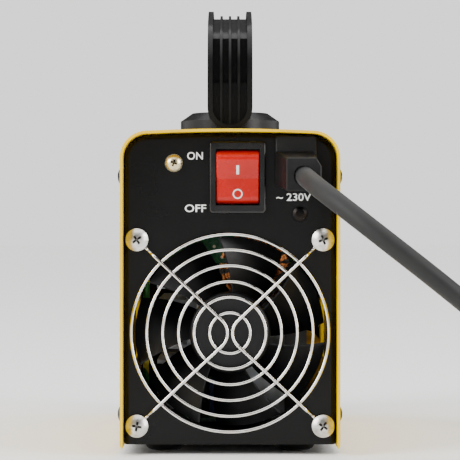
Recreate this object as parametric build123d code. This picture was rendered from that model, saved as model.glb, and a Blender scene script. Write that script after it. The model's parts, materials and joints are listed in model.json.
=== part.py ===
from build123d import *
import math
import os

# Sizes are in millimetres. X is to the right seen from behind, Y runs from the rear panel
# to the front panel, and Z is up from the floor.

# Case
cover_width = 97.0
cover_top = 144.2
crown_rise = 1.6
corner_radius = 12.0
cover_sheet = 1.2
cover_bottom = 3.5
cover_overhang = 9.0
panel_spacing = 212.0
panel_sheet = 0.8
panel_gap = 0.3
panel_bend = 2.4
flange_depth = 16.8
case_floor = 4.5
lip_width = 0.7
lip_height = 2.4
louvre_long = 34.0
louvre_wide = 3.2
louvre_pitch = 7.0
louvre_banks = ((-60.0, 7), (34.0, 6))
louvre_heights = (52.0, 98.0)
tray_sheet = 1.2
tray_wall = 16.0
tray_wall_gap = 0.4
tray_bend = 1.1
side_screw_inset = 13.0
side_screw_high = 123.6
side_screw_low = 17.0
side_screw_radius = 2.0
side_screw_head = 8.0
side_screw_hole = 2.2
foot_x = 29.5
foot_inset = 25.0
foot_radius = 9.3
foot_screw_radius = 2.0
foot_screw_start = 1.5
nut_thick = 2.2

# Handle
handle_width = 20.3
handle_span = 179.0
handle_rise = 61.4
handle_thick = 15.0
handle_bow = 18.0
handle_corner = 25.0
groove_deep = 3.6
groove_wall = 2.3
rib_height = 1.5
rib_thick = 1.1
rib_pitch = 4.0
slot_deep = 11.5
slot_shallow = 4.6
slot_rise = 44.3
slot_web = 0.8
handle_inner_edge = 4.0
handle_screw_radius = 2.1
handle_screw_head = 4.4
handle_screw_reach = 18.0
handle_screw_cover = 4.0
pad_inset = 0.8
pad_diameter = 45.4
pad_side = 5.3
pad_slope = 3.7
pad_slope_width = 5.3
pad_floor = 0.6

# Fan
fan_size = 92.0
fan_deep = 25.0
fan_gap = 1.5
fan_corner = 4.5
fan_hole_pitch = 82.5
fan_hole = 2.15
duct_radius = 44.5
duct_wall = 1.5
fan_flange = 5.0
hub_radius = 18.0
hub_wall = 1.4
hub_edge = 1.8
bearing_radius = 3.6
boss_radius = 5.0
magnet_thick = 2.0
stator_radius = 13.8
blade_radius = 42.5
blade_count = 7
blade_thick = 1.7
blade_cover = 42.0
blade_sweep = 12.0
first_blade = 99.0
strut_count = 4
strut_width = 4.0
strut_deep = 4.5
shaft_radius = 1.5
running_gap = 0.05
wire = 1.45
weld_sink = 0.3
wire_loop = 3.6
wire_vertex = 2.4
wire_bend = 2.5
wire_vertex_bend = 7.7
ring_radii = [9.0, 15.9, 22.8, 29.8, 36.8, 43.7]
ring_stand = 3.2
fan_head = 10.1
fan_head_rise = 2.6
fan_screw_radius = 2.1
fan_screw_long = 14.0
fan_screw_turns = (10, 55, 33, 70)

# Mains switch
switch_x = 3.4
switch_z = 122.9
bezel_width = 25.0
bezel_height = 32.0
bezel_stand = 2.2
rocker_width = 18.9
rocker_height = 24.3
rocker_pivot = 2.0
rocker_tilt = 20.0
rocker_half = 10.8
rocker_face = 3.6
rocker_skirt = 8.0
rocker_edge = 3.2
rocker_pin = 1.5
rocker_gap = 0.3
switch_deep = 24.0
terminal_x = 5.5
terminal_z = 7.5
terminal_long = 9.0
earth_x = -24.9
earth_z = 129.3
earth_head = 7.2
earth_radius = 2.0
earth_washer = 3.95
washer_thick = 0.8
lug_thick = 1.0
rivet_x = 31.0
rivet_z = 106.7
rivet_radius = 1.7

# Mains entry
cord_diameter = 8.6
gland_reach = 20.0
gland_plate = 3.0
gland_base = (29.3, 126.7)
gland_tip = (32.2, 123.1)
gland_shoulder = 3.6
gland_corner = 1.1
gland_edge = 0.6
gland_neck = 7.5
gland_plate_size = (18.7, 22.7)
gland_plate_place = (29.35, 130.25)
gland_base_size = (18.7, 15.6)
gland_tip_size = (15.3, 14.6)
locknut_radius = 11.0
coil_mid = 50.0
coil_pitch = 9.0
tie_thick = 1.0
tie_angles = (110, 330)
tie_sweep = 11.0
bundle_edge = 2.2
plug_radius = 18.5
pin_radius = 2.4
pin_x = 9.5
pin_long = 29.0

# Front
knob_reach = 17.0
knob_diameter = 28.0
knob_z = 90.0
flute_count = 18
shaft_thick = 3.0
neck_radius = 4.5
film_thick = 0.6
film_size = (78.0, 66.0)
film_corner = 4.0
film_z = 104.0
window_z = 119.0
window_width = 38.0
window_height = 18.0
lamp_x = 27.0
lamp_radius = 1.5
vent_count = 9
vent_pitch = 7.0
vent_z = 62.0
vent_size = (10.0, 2.6)
socket_x = 22.5
socket_z = 36.0
socket_bore = 4.6
socket_depth = 20.0
socket_hole = 12.0
stud_radius = 5.0
control_board_gap = 16.0

# Inside
board_thick = 1.6
standoff = 6.0
board_width = 84.0
board_hole_x = 37.0
board_screw = 1.5
sink_height = 62.0
sink_fins = 9
sink_pitch = 7.0
capacitor_radius = 12.0
capacitor_height = 40.0
core_x = (12.0, 36.0)
core_height = 46.0
choke_x = 12.5
choke_rise = 29.0
choke_outer = 15.0
choke_inner = 9.5
choke_half = 6.0
choke_turns = 19
mains_wire = 1.3
earth_wire_radius = 1.4
fit_gap = 0.1

# Derived places
rear_y = (gland_reach - knob_reach - panel_spacing) / 2
front_y = rear_y + panel_spacing
middle_y = (rear_y + front_y) / 2
cover_rear = rear_y - cover_overhang
cover_front = front_y + cover_overhang
half_width = cover_width / 2
tray_top = case_floor + tray_sheet
inner_half = half_width - cover_sheet
panel_half = inner_half - panel_gap
fan_z = tray_top + panel_sheet + fan_gap + fan_size / 2
fan_y = rear_y + panel_sheet
board_z = tray_top + standoff
board_top = board_z + board_thick
cord_radius = cord_diameter / 2
handle_top = cover_top + handle_rise
slot_top = cover_top + slot_rise
pad_y = handle_span / 2 - pad_diameter / 2 - pad_inset
leg_y = handle_span / 2 - handle_thick / 2
capacitor_places = ((25.0, middle_y + 15.5), (25.0, middle_y + 42.5), (1.9, middle_y + 29.0))
sink_spans = ((rear_y + 52, 54, 3), (middle_y + 12, 46, 2))
core_rear = rear_y + 60
core_long = 44.0

# The cord's route, chosen point by point: out of the gland, round to the right, and down to the floor
cord_route = [
    (27.3, rear_y + 8.9, 129.2),
    (34.2, rear_y - 31.6, 120.6),
    (44.9, rear_y - 48.9, 111.6),
    (61.6, rear_y - 60.6, 98.0),
    (88.6, rear_y - 63.4, 76.8),
    (114.5, rear_y - 60.5, 55.6),
    (137.0, rear_y - 56.0, 29.5),
    (148.2, rear_y - 54.5, 21.9),
]
landing_route = [
    (148.2, rear_y - 54.5, 21.9),
    (165.0, rear_y - 52.25, 10.5),
    (191.0, rear_y - 50.4, tie_thick + cord_radius),
    (209.0, rear_y - 50.4, tie_thick + cord_radius),
]
coil_x = landing_route[-1][0]
coil_outer_turn = coil_mid + coil_pitch
coil_y = landing_route[-1][1] + coil_outer_turn
coil_low = tie_thick + cord_radius
coil_rise = math.sqrt(cord_diameter**2 - (coil_pitch / 2) ** 2)
coil_high = coil_low + coil_rise


def plane_y(y):
    # A sketch plane seen from behind: its x is X and its y is Z.
    return Plane(origin=(0, y, 0), x_dir=(1, 0, 0), z_dir=(0, -1, 0))


def prism_y(sketch, y_from, y_to):
    return extrude(plane_y(y_from) * sketch, y_to - y_from, dir=(0, 1, 0))


def rod_y(x, z, radius, y_from, y_to):
    return prism_y(Pos(x, z) * Circle(radius), y_from, y_to)


def rod_x(y, z, radius, x_from, x_to):
    sketch = Plane(origin=(x_from, 0, 0), x_dir=(0, 1, 0), z_dir=(1, 0, 0)) * (Pos(y, z) * Circle(radius))
    return extrude(sketch, x_to - x_from, dir=(1, 0, 0))


def rod_z(x, y, radius, z_from, z_to):
    return Pos(x, y, (z_from + z_to) / 2) * Cylinder(radius, z_to - z_from)


def block(x_from, x_to, y_from, y_to, z_from, z_to):
    middle = ((x_from + x_to) / 2, (y_from + y_to) / 2, (z_from + z_to) / 2)
    return Pos(*middle) * Box(x_to - x_from, y_to - y_from, z_to - z_from)


def turned_y(points, x, z):
    # A solid of revolution about a line along Y through x and z, from points of radius and y.
    face = make_face(Polyline(*[(radius, y, 0) for radius, y in points], close=True))
    return Pos(x, 0, z) * revolve(face, Axis.Y)


def fuse(solids):
    # One piece from several that touch.
    return solids[0].fuse(*solids[1:]) if len(solids) > 1 else solids[0]


def group(solids):
    # Separate pieces that one node holds.
    return Compound(children=list(solids))


def arch_face(half, top, rise, corner, inset, bottom):
    # The region under a flat arch with rounded shoulders, inset from its outline.
    arc = (half**2 + rise**2) / (2 * rise)
    centre = top - arc
    side = half - inset
    shoulder = centre + math.sqrt((arc - inset) ** 2 - side**2)
    left = Line((-side, bottom), (-side, shoulder))
    crown = ThreePointArc((-side, shoulder), (0, top - inset), (side, shoulder))
    right = Line((side, shoulder), (side, bottom))
    base = Line((side, bottom), (-side, bottom))
    face = make_face([left, crown, right, base])
    return fillet(face.vertices().group_by(Axis.Y)[-1], corner - inset)


def case_face(inset, bottom):
    return arch_face(half_width, cover_top, crown_rise, corner_radius, inset, bottom)


def corner_radii(points):
    # The cord bends as gently as the shorter run beside each corner lets it.
    radii = []
    for before, corner, after in zip(points, points[1:], points[2:]):
        arriving = Vector(corner) - Vector(before)
        leaving = Vector(after) - Vector(corner)
        turn = math.radians(arriving.get_angle(leaving))
        radii.append(0.45 * min(arriving.length, leaving.length) / math.tan(turn / 2))
    return radii


def tube(points, radii, radius):
    path = FilletPolyline(*points, radius=radii)
    start = Plane(origin=path @ 0, z_dir=path % 0)
    return sweep(start * Circle(radius), path=path)


def cross_recess(size, deep):
    # A Phillips recess that opens just before y = 0 and narrows as it goes along +Y.
    mouth = plane_y(-0.2) * Rectangle(size, size * 0.2)
    floor = plane_y(deep) * Rectangle(size * 0.35, size * 0.15)
    arm = loft([mouth, floor])
    return arm + Rot(0, 90, 0) * arm


def pan_head(diameter, height, recess, turn):
    # A domed head with its flat underside at y = 0, standing out along -Y.
    radius = diameter / 2
    rim = height * 0.3
    dome = (radius**2 + (height - rim) ** 2) / (2 * (height - rim))
    halfway = dome - math.sqrt(dome**2 - radius**2 / 4) - height
    outline = make_face(
        [
            Line((0, 0), (radius, 0)),
            Line((radius, 0), (radius, -rim)),
            ThreePointArc((radius, -rim), (radius / 2, halfway), (0, -height)),
            Line((0, -height), (0, 0)),
        ]
    )
    head = revolve(outline, Axis.Y)
    return head - Rot(0, turn, 0) * (Pos(0, -height, 0) * cross_recess(recess, height * 0.72))


def screw_y(x, y, z, head, height, shank, length, turn):
    # A screw driven along +Y with the underside of its head at y.
    whole = pan_head(head, height, head * 0.52, turn) + rod_y(0, 0, shank, 0, length)
    return Pos(x, y, z) * whole


def side_places(positions_z):
    # The side screws' places: each side, near both panels, at the given heights.
    places = []
    for side in (-1, 1):
        for y in (rear_y + side_screw_inset, front_y - side_screw_inset):
            for z in positions_z:
                places.append((side, y, z))
    return places


def cover():
    part = prism_y(case_face(0, cover_bottom), cover_rear, cover_front)
    part -= prism_y(case_face(cover_sheet, cover_bottom - 1), cover_rear - 1, cover_front + 1)
    tip = Plane.XZ * make_face(Polyline((-1, 0), (lip_width, 0), (-1, lip_height), close=True))
    for side in (-1, 1):
        bevel = Pos(0, cover_front + 1, 0) * extrude(tip, cover_front - cover_rear + 2)
        bevel = Pos(-half_width, 0, cover_bottom) * bevel
        part -= bevel if side < 0 else mirror(bevel, about=Plane.YZ)
    for side, y, z in side_places((side_screw_high, side_screw_low)):
        part -= rod_x(y, z, side_screw_hole, side * half_width - 3, side * half_width + 3)
    for side in (-1, 1):
        part -= rod_z(0, middle_y + side * leg_y, handle_screw_radius + 0.6, cover_top - 8, cover_top + 2)
    slot = SlotOverall(louvre_long, louvre_wide, rotation=90)
    for first, count in louvre_banks:
        for number in range(count):
            for centre_z in louvre_heights:
                opening = Plane.YZ * (Pos(middle_y + first + louvre_pitch * number, centre_z) * slot)
                part -= extrude(opening, half_width + 5, both=True)
    return part


def base_tray():
    part = block(-panel_half, panel_half, rear_y + panel_sheet, front_y - panel_sheet, case_floor, tray_top)
    wall_rear = fan_y + fan_deep + tray_wall_gap
    wall_front = front_y - flange_depth - tray_wall_gap
    for side in (-1, 1):
        inner = side * (panel_half - tray_sheet)
        outer = side * panel_half
        part += block(min(inner, outer), max(inner, outer), wall_rear, wall_front, case_floor, tray_top + tray_wall)
    edges = part.edges().filter_by(Axis.Y).group_by(Axis.Z)[0]
    part = fillet(edges, tray_bend)
    for x, y in foot_places():
        part -= rod_z(x, y, foot_screw_radius + fit_gap, case_floor - 1, tray_top + 1)
    for x, y in board_places():
        part -= rod_z(x, y, board_screw, case_floor - 1, tray_top + 1)
    return part


def foot_places():
    return [(x, y) for x in (-foot_x, foot_x) for y in (rear_y + foot_inset, front_y - foot_inset)]


def board_places():
    rows = (rear_y + 46, middle_y + 2.5, front_y - 30)
    return [(x, y) for x in (-board_hole_x, board_hole_x) for y in rows]


def panel_blank():
    # A folded panel that faces -Y with its outer face at y = 0.
    outline = case_face(cover_sheet + panel_gap, case_floor)
    body = prism_y(outline, 0, flange_depth)
    inside = case_face(cover_sheet + panel_gap + panel_sheet, tray_top + panel_sheet)
    hollow = prism_y(inside, panel_sheet, flange_depth + 1)
    rim = [e for e in body.edges() if e.center().Y < 0.01 and e.center().Z > case_floor + 1]
    body = fillet(rim, panel_bend)
    inner_rim = [e for e in hollow.edges() if e.center().Y < panel_sheet + 0.01 and e.center().Z > tray_top + 2]
    hollow = fillet(inner_rim, panel_bend - panel_sheet)
    part = body - hollow
    part -= block(-half_width, half_width, panel_sheet, flange_depth + 1, 0, tray_top)
    for side in (-1, 1):
        corner = make_face(
            Polyline(
                (side * (panel_half - 1.3), case_floor - 1),
                (side * (panel_half - 1.3), case_floor),
                (side * panel_half, case_floor + 2),
                (side * (panel_half + 1), case_floor + 2),
                (side * (panel_half + 1), case_floor - 1),
                close=True,
            )
        )
        part -= prism_y(corner, -1, panel_sheet + 0.4)
    return part


def side_holes(part, y):
    for side in (-1, 1):
        for z in (side_screw_high, side_screw_low):
            part -= rod_x(y, z, side_screw_radius, side * panel_half - 3, side * panel_half + 3)
    return part


def rear_panel():
    part = side_holes(Pos(0, rear_y, 0) * panel_blank(), rear_y + side_screw_inset)
    part -= rod_y(0, fan_z, duct_radius - 1, rear_y - 1, rear_y + 2)
    for x, z in fan_places():
        part -= rod_y(x, z, fan_screw_radius + 0.2, rear_y - 1, rear_y + 2)
    opening = Pos(switch_x, switch_z) * Rectangle(bezel_width - 2.8, bezel_height - 2.9)
    part -= prism_y(opening, rear_y - 1, rear_y + 2)
    part -= rod_y(*gland_hole(), gland_neck + fit_gap, rear_y - 1, rear_y + 2)
    part -= rod_y(earth_x, earth_z, earth_radius + fit_gap, rear_y - 1, rear_y + 2)
    part -= rod_y(rivet_x, rivet_z, rivet_radius, rear_y - 1, rear_y + 2)
    return part


def front_panel():
    part = Pos(0, front_y, 0) * (Rot(0, 0, 180) * panel_blank())
    part = side_holes(part, front_y - side_screw_inset)
    part -= rod_y(0, knob_z, neck_radius + fit_gap, front_y - 2, front_y + 1)
    window = Pos(0, window_z) * Rectangle(window_width - 4, window_height - 4)
    part -= prism_y(window, front_y - 2, front_y + 1)
    for x in lamp_places():
        part -= rod_y(x, window_z, lamp_radius + fit_gap, front_y - 2, front_y + 1)
    for side in (-1, 1):
        part -= rod_y(side * socket_x, socket_z, socket_hole + fit_gap, front_y - 2, front_y + 1)
    for number in range(vent_count):
        x = vent_pitch * (number - (vent_count - 1) / 2)
        vent = Pos(x, vent_z) * SlotOverall(*vent_size, rotation=90)
        part -= prism_y(vent, front_y - 2, front_y + 1)
    return part


def lamp_places():
    return (-lamp_x, lamp_x)


def control_overlay():
    outline = RectangleRounded(*film_size, film_corner)
    part = prism_y(Pos(0, film_z) * outline, front_y, front_y + film_thick)
    part -= rod_y(0, knob_z, 6.8, front_y - 1, front_y + 2)
    window = Pos(0, window_z) * Rectangle(window_width, window_height)
    part -= prism_y(window, front_y - 1, front_y + 2)
    for x in lamp_places():
        part -= rod_y(x, window_z, lamp_radius + fit_gap, front_y - 1, front_y + 2)
    return part


def leg_outline(inset):
    # Seen from behind a leg is straight above and half round at its foot.
    radius = handle_width / 2 - inset
    foot = handle_bottom() + handle_width / 2
    straight = Pos(0, foot + handle_top / 2) * Rectangle(2 * radius, handle_top)
    return straight + Pos(0, foot) * Circle(radius)


def handle_bottom():
    # The legs stop just above the cover, on a thin floor in the pads.
    return cover_top + pad_floor


def handle_arch(inset, width):
    face = arch_face(handle_span / 2, handle_top, handle_bow, handle_corner, inset, handle_bottom() - 4)
    solid = extrude(Plane.YZ * face, width / 2, both=True)
    return Pos(0, middle_y, 0) * solid


def handle_body():
    # The arch before its outer channel is cut.
    part = handle_arch(0, handle_width) - handle_arch(handle_thick, handle_width + 2)
    grip = [e for e in part.edges() if abs(abs(e.center().X) - handle_width / 2) < 0.01]
    inner = [e for e in grip if handle_is_inner(e)]
    part = fillet(inner, handle_inner_edge)
    return part & prism_y(leg_outline(0), middle_y - handle_span, middle_y + handle_span)


def handle_is_inner(edge):
    # Whether an edge runs round the inside of the arch.
    place = edge.center()
    across = abs(place.Y - middle_y)
    below_top = place.Z < handle_top - handle_thick + 0.5
    at_leg = across < handle_span / 2 - handle_thick + 0.5
    return below_top and at_leg and edge.length > 8


def leg_slots():
    # The slots between a leg's ribs: shallow beside the screw, deep above it, and deep again
    # in the corner over a thin web.
    step = cover_top + handle_screw_reach + handle_screw_cover
    corner = slot_top + slot_web
    levels = (
        (slot_shallow, cover_top, step),
        (slot_deep, step, slot_top),
        (slot_deep, corner, handle_top + 1),
    )
    slots = []
    for side in (-1, 1):
        outer = middle_y + side * handle_span / 2
        for deep, low, high in levels:
            inner = outer - side * deep
            slots.append(block(-handle_width, handle_width, min(outer, inner), max(outer, inner), low, high))
    region = fuse(slots)
    for number in (-1, 0, 1):
        rib = number * rib_pitch
        half = rib_thick / 2
        region -= block(rib - half, rib + half, -handle_span, handle_span, cover_top, handle_top + 1)
    return region


def handle():
    part = handle_body()
    reach = handle_arch(-2, handle_width - 2 * groove_wall) - handle_arch(groove_deep, handle_width)
    mouth = prism_y(leg_outline(groove_wall), middle_y - handle_span, middle_y + handle_span)
    part -= reach & mouth
    part -= leg_slots() & mouth
    for number in (-1, 0, 1):
        low = handle_arch(groove_deep - rib_height, rib_thick) - handle_arch(groove_deep + 0.5, rib_thick + 1)
        part += Pos(number * rib_pitch, 0, 0) * low & mouth
    for side in (-1, 1):
        hole_top = cover_top + handle_screw_reach + 2
        part -= rod_z(0, middle_y + side * leg_y, handle_screw_radius, cover_top - 5, hole_top)
    return part


def handle_pads():
    pads = []
    radius = pad_diameter / 2
    for side in (-1, 1):
        place = middle_y + side * pad_y
        pad = rod_z(0, place, radius, cover_top - 3, cover_top + pad_side)
        pad += Pos(0, place, cover_top + pad_side + pad_slope / 2) * Cone(
            radius, radius - pad_slope_width, pad_slope
        )
        pad -= handle_body()
        pad -= prism_y(case_face(0, cover_bottom), cover_rear, cover_front)
        pad -= rod_z(0, middle_y + side * leg_y, handle_screw_radius, cover_top - 5, cover_top + 5)
        pads.append(pad)
    return group(pads)


def handle_screws():
    screws = []
    under = cover_top - cover_sheet
    for side in (-1, 1):
        place = (0, middle_y + side * leg_y)
        shank = rod_z(*place, handle_screw_radius, under - 0.5, cover_top + handle_screw_reach)
        screws.append(shank + rod_z(*place, handle_screw_head, under - 3.4, under - 0.02))
    return group(screws)


def rubber_feet():
    outline = make_face(
        [
            Line((0, 0), (foot_radius - 3.7, 0)),
            ThreePointArc((foot_radius - 3.7, 0), (foot_radius - 0.8, 1.6), (foot_radius, case_floor)),
            Line((foot_radius, case_floor), (0, case_floor)),
            Line((0, case_floor), (0, 0)),
        ]
    )
    foot = revolve(Plane.XZ * outline, Axis.Z)
    foot -= rod_z(0, 0, foot_screw_radius, foot_screw_start, case_floor + 1)
    return group([Pos(x, y, 0) * foot for x, y in foot_places()])


def foot_nuts():
    nuts = []
    for x, y in foot_places():
        nut = extrude(Plane.XY.offset(tray_top) * RegularPolygon(4.0, 6), nut_thick)
        nuts.append(Pos(x, y, 0) * nut + rod_z(x, y, foot_screw_radius, foot_screw_start, tray_top + nut_thick))
    return group(nuts)


def cover_screws():
    screws = []
    for number, (side, y, z) in enumerate(side_places((side_screw_high, side_screw_low))):
        screw = pan_head(side_screw_head, 2.0, 4.4, 25 + 37 * number) + rod_y(0, 0, side_screw_radius, 0, 3.0)
        screws.append(Pos(side * half_width, y, z) * (Rot(0, 0, -side * 90 + 180) * screw))
    return group(screws)


def fan_places():
    half = fan_hole_pitch / 2
    return [(x, fan_z + z) for x in (-half, half) for z in (-half, half)]


def fan_frame():
    square = Pos(0, fan_z) * RectangleRounded(fan_size, fan_size, fan_corner)
    rear = prism_y(square, fan_y, fan_y + fan_flange)
    rear = fillet(rear.edges().group_by(Axis.Y)[0], panel_bend - panel_sheet + 0.1)
    front = prism_y(square, fan_y + fan_deep - fan_flange, fan_y + fan_deep)
    wall = rod_y(0, fan_z, duct_radius + duct_wall, fan_y + fan_flange - 1, fan_y + fan_deep)
    part = rear + wall + front - rod_y(0, fan_z, duct_radius, fan_y - 1, fan_y + fan_deep + 1)
    inner = fan_y + fan_deep - strut_deep
    plate = rod_y(0, fan_z, hub_radius, inner, fan_y + fan_deep)
    for number in range(strut_count):
        strut = block(-strut_width / 2, strut_width / 2, inner, fan_y + fan_deep, hub_radius - 1, duct_radius + 1)
        plate += Pos(0, 0, fan_z) * Rot(0, 45 + 360 / strut_count * number, 0) * strut
    part += plate
    part += rod_y(0, fan_z, boss_radius, fan_y + 6.0, inner + 1)
    part -= rod_y(0, fan_z, bearing_radius, fan_y + 5.0, fan_y + fan_deep - 1.5)
    for x, z in fan_places():
        part -= rod_y(x, z, fan_hole, fan_y - 1, fan_y + fan_deep + 1)
    return part


def blade_section(distance):
    # A blade's section on the flat plane at this distance above the axis.
    middle = math.radians(blade_sweep * (distance - 30) / (blade_radius - hub_radius))
    half = math.radians(blade_cover / 2)
    outer = []
    inner = []
    for share in (-1.0, -0.5, 0.0, 0.5, 1.0):
        across = -distance * math.tan(middle + half * share)
        along = fan_y + 2.7 + 8.0 * (1 - share) + 0.6 * (1 - share * share)
        swell = blade_thick / 2 * (1 - 0.45 * share * share)
        outer.append((across, along - swell))
        inner.append((across, along + swell))
    face = make_face(
        [
            Spline(*outer),
            Line(outer[-1], inner[-1]),
            Spline(*inner),
            Line(inner[0], outer[0]),
        ]
    )
    return Plane.XY.offset(distance) * face


def fan_blade():
    # The top blade before it is turned to its place.
    solid = loft([blade_section(distance) for distance in (14, 23, 33, 46)])
    ring = turned_y(
        [
            (hub_radius - 0.7, fan_y + 2.7),
            (blade_radius, fan_y + 2.7),
            (blade_radius, fan_y + 18.7),
            (hub_radius - 0.7, fan_y + 18.7),
        ],
        0,
        0,
    )
    return solid & ring


def fan_rotor():
    hub_front = fan_y + 1.2
    hub_back = fan_y + 18.7
    hub = rod_y(0, 0, hub_radius, hub_front, hub_back)
    rim = hub.edges().group_by(Axis.Y)[0]
    hub = fillet(rim, hub_edge)
    hub -= rod_y(0, 0, hub_radius - hub_wall, hub_front + 2.0, hub_back + 1)
    hub += rod_y(0, 0, 3.5, hub_front + 1.5, hub_front + 4.2)
    hub -= rod_y(0, 0, shaft_radius, hub_front + 2.0, hub_front + 5)
    blade = fan_blade()
    for number in range(blade_count):
        # A turn about Y takes X towards -Z, so a positive angle seen from behind is a negative one here.
        seen = first_blade + 360 / blade_count * number - 90 - blade_cover / 2 - blade_sweep / 2
        hub += Rot(0, -seen, 0) * blade
    return Pos(0, 0, fan_z) * hub


def fan_magnet_ring():
    radius = hub_radius - hub_wall
    outer = rod_y(0, fan_z, radius, fan_y + 4.2, fan_y + 17.2)
    return outer - rod_y(0, fan_z, radius - magnet_thick, fan_y + 4, fan_y + 18)


def fan_stator():
    y_from = fan_y + 6.5
    y_to = fan_y + 17.0
    part = rod_y(0, fan_z, 7.5, y_from, y_to)
    for number in range(4):
        arm = block(-1.8, 1.8, y_from, y_to, 0, 12.5)
        shoe = rod_y(0, 0, stator_radius, y_from, y_to) - rod_y(0, 0, stator_radius - 1.8, y_from - 1, y_to + 1)
        wedge = block(-7.4, 7.4, y_from, y_to, 9.0, 14)
        coil = block(-4.2, 4.2, y_from + 0.8, y_to - 0.8, 6.0, 11.4)
        part += Pos(0, 0, fan_z) * Rot(0, 90 * number, 0) * (arm + (shoe & wedge) + coil)
    return part - rod_y(0, fan_z, boss_radius, y_from - 1, y_to + 1)


def fan_shaft():
    return rod_y(0, fan_z, shaft_radius, fan_y + 3.2, fan_y + 20.0)


def fan_bearing():
    outer = rod_y(0, fan_z, bearing_radius, fan_y + 6.4, fan_y + 21.0)
    return outer - rod_y(0, fan_z, shaft_radius + running_gap, fan_y + 6, fan_y + 22)


def finger_guard():
    ring_y = rear_y - ring_stand
    cross_y = ring_y - wire + weld_sink
    parts = []
    for radius in ring_radii:
        ring = Torus(radius, wire / 2)
        parts.append(Pos(0, ring_y, fan_z) * (Rot(90, 0, 0) * ring))
    half = fan_hole_pitch / 2
    for side in (-1, 1):
        vertex = (-side * wire_vertex, cross_y, fan_z)
        points = []
        for up in (1, -1):
            screw = Vector(side * half, 0, fan_z + up * half)
            inward = (Vector(vertex[0], 0, vertex[2]) - screw).normalized()
            near = screw + inward * wire_loop
            low = screw + inward * 6.5
            high = screw + inward * 10.5
            arm = [
                (near.X, rear_y - wire / 2, near.Z),
                (low.X, rear_y - wire / 2, low.Z),
                (high.X, cross_y, high.Z),
            ]
            points += arm + [vertex] if up > 0 else arm[::-1]
            loop = Torus(wire_loop, wire / 2)
            parts.append(Pos(screw.X, rear_y - wire / 2, screw.Z) * (Rot(90, 0, 0) * loop))
        bends = [wire_bend, wire_bend, wire_vertex_bend, wire_bend, wire_bend]
        parts.append(tube(points, bends, wire / 2))
    return fuse(parts)


def fan_screws():
    screws = []
    for (x, z), turn in zip(fan_places(), fan_screw_turns):
        shank = (fan_screw_radius, fan_screw_long)
        screws.append(screw_y(x, rear_y - wire, z, fan_head, fan_head_rise, *shank, turn))
    return group(screws)


def switch_housing():
    bezel = Pos(switch_x, switch_z) * RectangleRounded(bezel_width, bezel_height, 1.6)
    frame = prism_y(bezel, rear_y - bezel_stand, rear_y)
    outer = frame.edges().group_by(Axis.Y)[0]
    frame = fillet(outer, 0.9)
    body = Pos(switch_x, switch_z) * Rectangle(bezel_width - 3.0, bezel_height - 3.1)
    part = frame + prism_y(body, rear_y - 0.5, rear_y + switch_deep)
    clearance = 2 * rocker_gap
    opening = Pos(switch_x, switch_z) * Rectangle(rocker_width + clearance, rocker_height + clearance)
    part -= prism_y(opening, rear_y - 5, rear_y + 15)
    reach = rocker_width / 2 + 1.2
    part -= rod_x(rear_y + rocker_pivot, switch_z, rocker_pin + running_gap, switch_x - reach, switch_x + reach)
    return part


def switch_rocker():
    # Drawn level about its pivot, then tipped to OFF with its lower end pressed in.
    radius = rocker_height / 2
    half = rocker_half
    face_y = -rocker_face
    slope = math.tan(math.radians(rocker_tilt / 2))
    outline = make_face(
        Polyline(
            (0, face_y),
            (half, face_y - half * slope),
            (radius, 0),
            (half - 1.6, rocker_skirt),
            (-half + 1.6, rocker_skirt),
            (-radius, 0),
            (-half, face_y - half * slope),
            close=True,
        )
    )
    corners = [v for v in outline.vertices() if v.Y < face_y - 1]
    outline = fillet(corners, rocker_edge)
    round_body = Circle(radius)
    outline = outline & round_body
    plane = Plane(origin=(0, 0, 0), x_dir=(0, 0, 1), z_dir=(-1, 0, 0))
    solid = extrude(plane * outline, rocker_width / 2, both=True)
    long_edges = [e for e in solid.edges() if abs(abs(e.center().X) - rocker_width / 2) < 0.01 and e.center().Y < -1]
    solid = fillet(long_edges, 0.5)
    solid += rod_x(0, 0, rocker_pin, -rocker_width / 2 - 1.1, rocker_width / 2 + 1.1)
    tipped = Rot(rocker_tilt / 2, 0, 0) * solid
    return Pos(switch_x, rear_y + rocker_pivot, switch_z) * tipped


def switch_terminals():
    blades = []
    start = rear_y + switch_deep
    for x in (-terminal_x, terminal_x):
        for z in (-terminal_z, terminal_z):
            blade = block(-0.4, 0.4, start, start + terminal_long, -3.15, 3.15)
            blade -= rod_x(start + terminal_long - 3, 0, 0.8, -1, 1)
            blades.append(Pos(switch_x + x, 0, switch_z + z) * blade)
    return group(blades)


def earth_screw():
    under = rear_y - washer_thick
    screw = screw_y(earth_x, under, earth_z, earth_head, 2.4, earth_radius, 13, 20)
    washer = rod_y(earth_x, earth_z, earth_washer, under, rear_y)
    return screw + washer


def earth_nut():
    hexagon = Pos(earth_x, earth_z) * RegularPolygon(4.0, 6)
    inside = rear_y + panel_sheet
    lug = rod_y(earth_x, earth_z, 4.2, inside, inside + lug_thick)
    lug += block(earth_x - 2.1, earth_x + 2.1, inside, inside + lug_thick, earth_z - 12.3, earth_z - 2.3)
    nut = prism_y(hexagon, inside + lug_thick, inside + lug_thick + 3.2)
    return lug + nut - rod_y(earth_x, earth_z, earth_radius, rear_y, rear_y + 8)


def blind_rivet():
    head = turned_y([(0, 0), (3.4, 0), (3.2, -0.6), (2.0, -1.3), (1.2, -1.4), (1.2, -0.9), (0, -0.9)], 0, 0)
    body = rod_y(0, 0, rivet_radius, -0.2, 4.0) + rod_y(0, 0, rivet_radius + 0.7, panel_sheet, 3.6)
    return Pos(rivet_x, rear_y, rivet_z) * (head + body)


def gland_hole():
    # Where the cord's line crosses the rear face of the panel.
    base = Vector(*gland_base)
    tip = Vector(*gland_tip)
    lean = (tip - base) * (1 / (gland_reach - gland_plate))
    centre = base - lean * gland_plate
    return (centre.X, centre.Y)


def cord_line():
    start = Vector(*cord_route[0])
    end = Vector(*cord_route[1])
    return start, end


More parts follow.
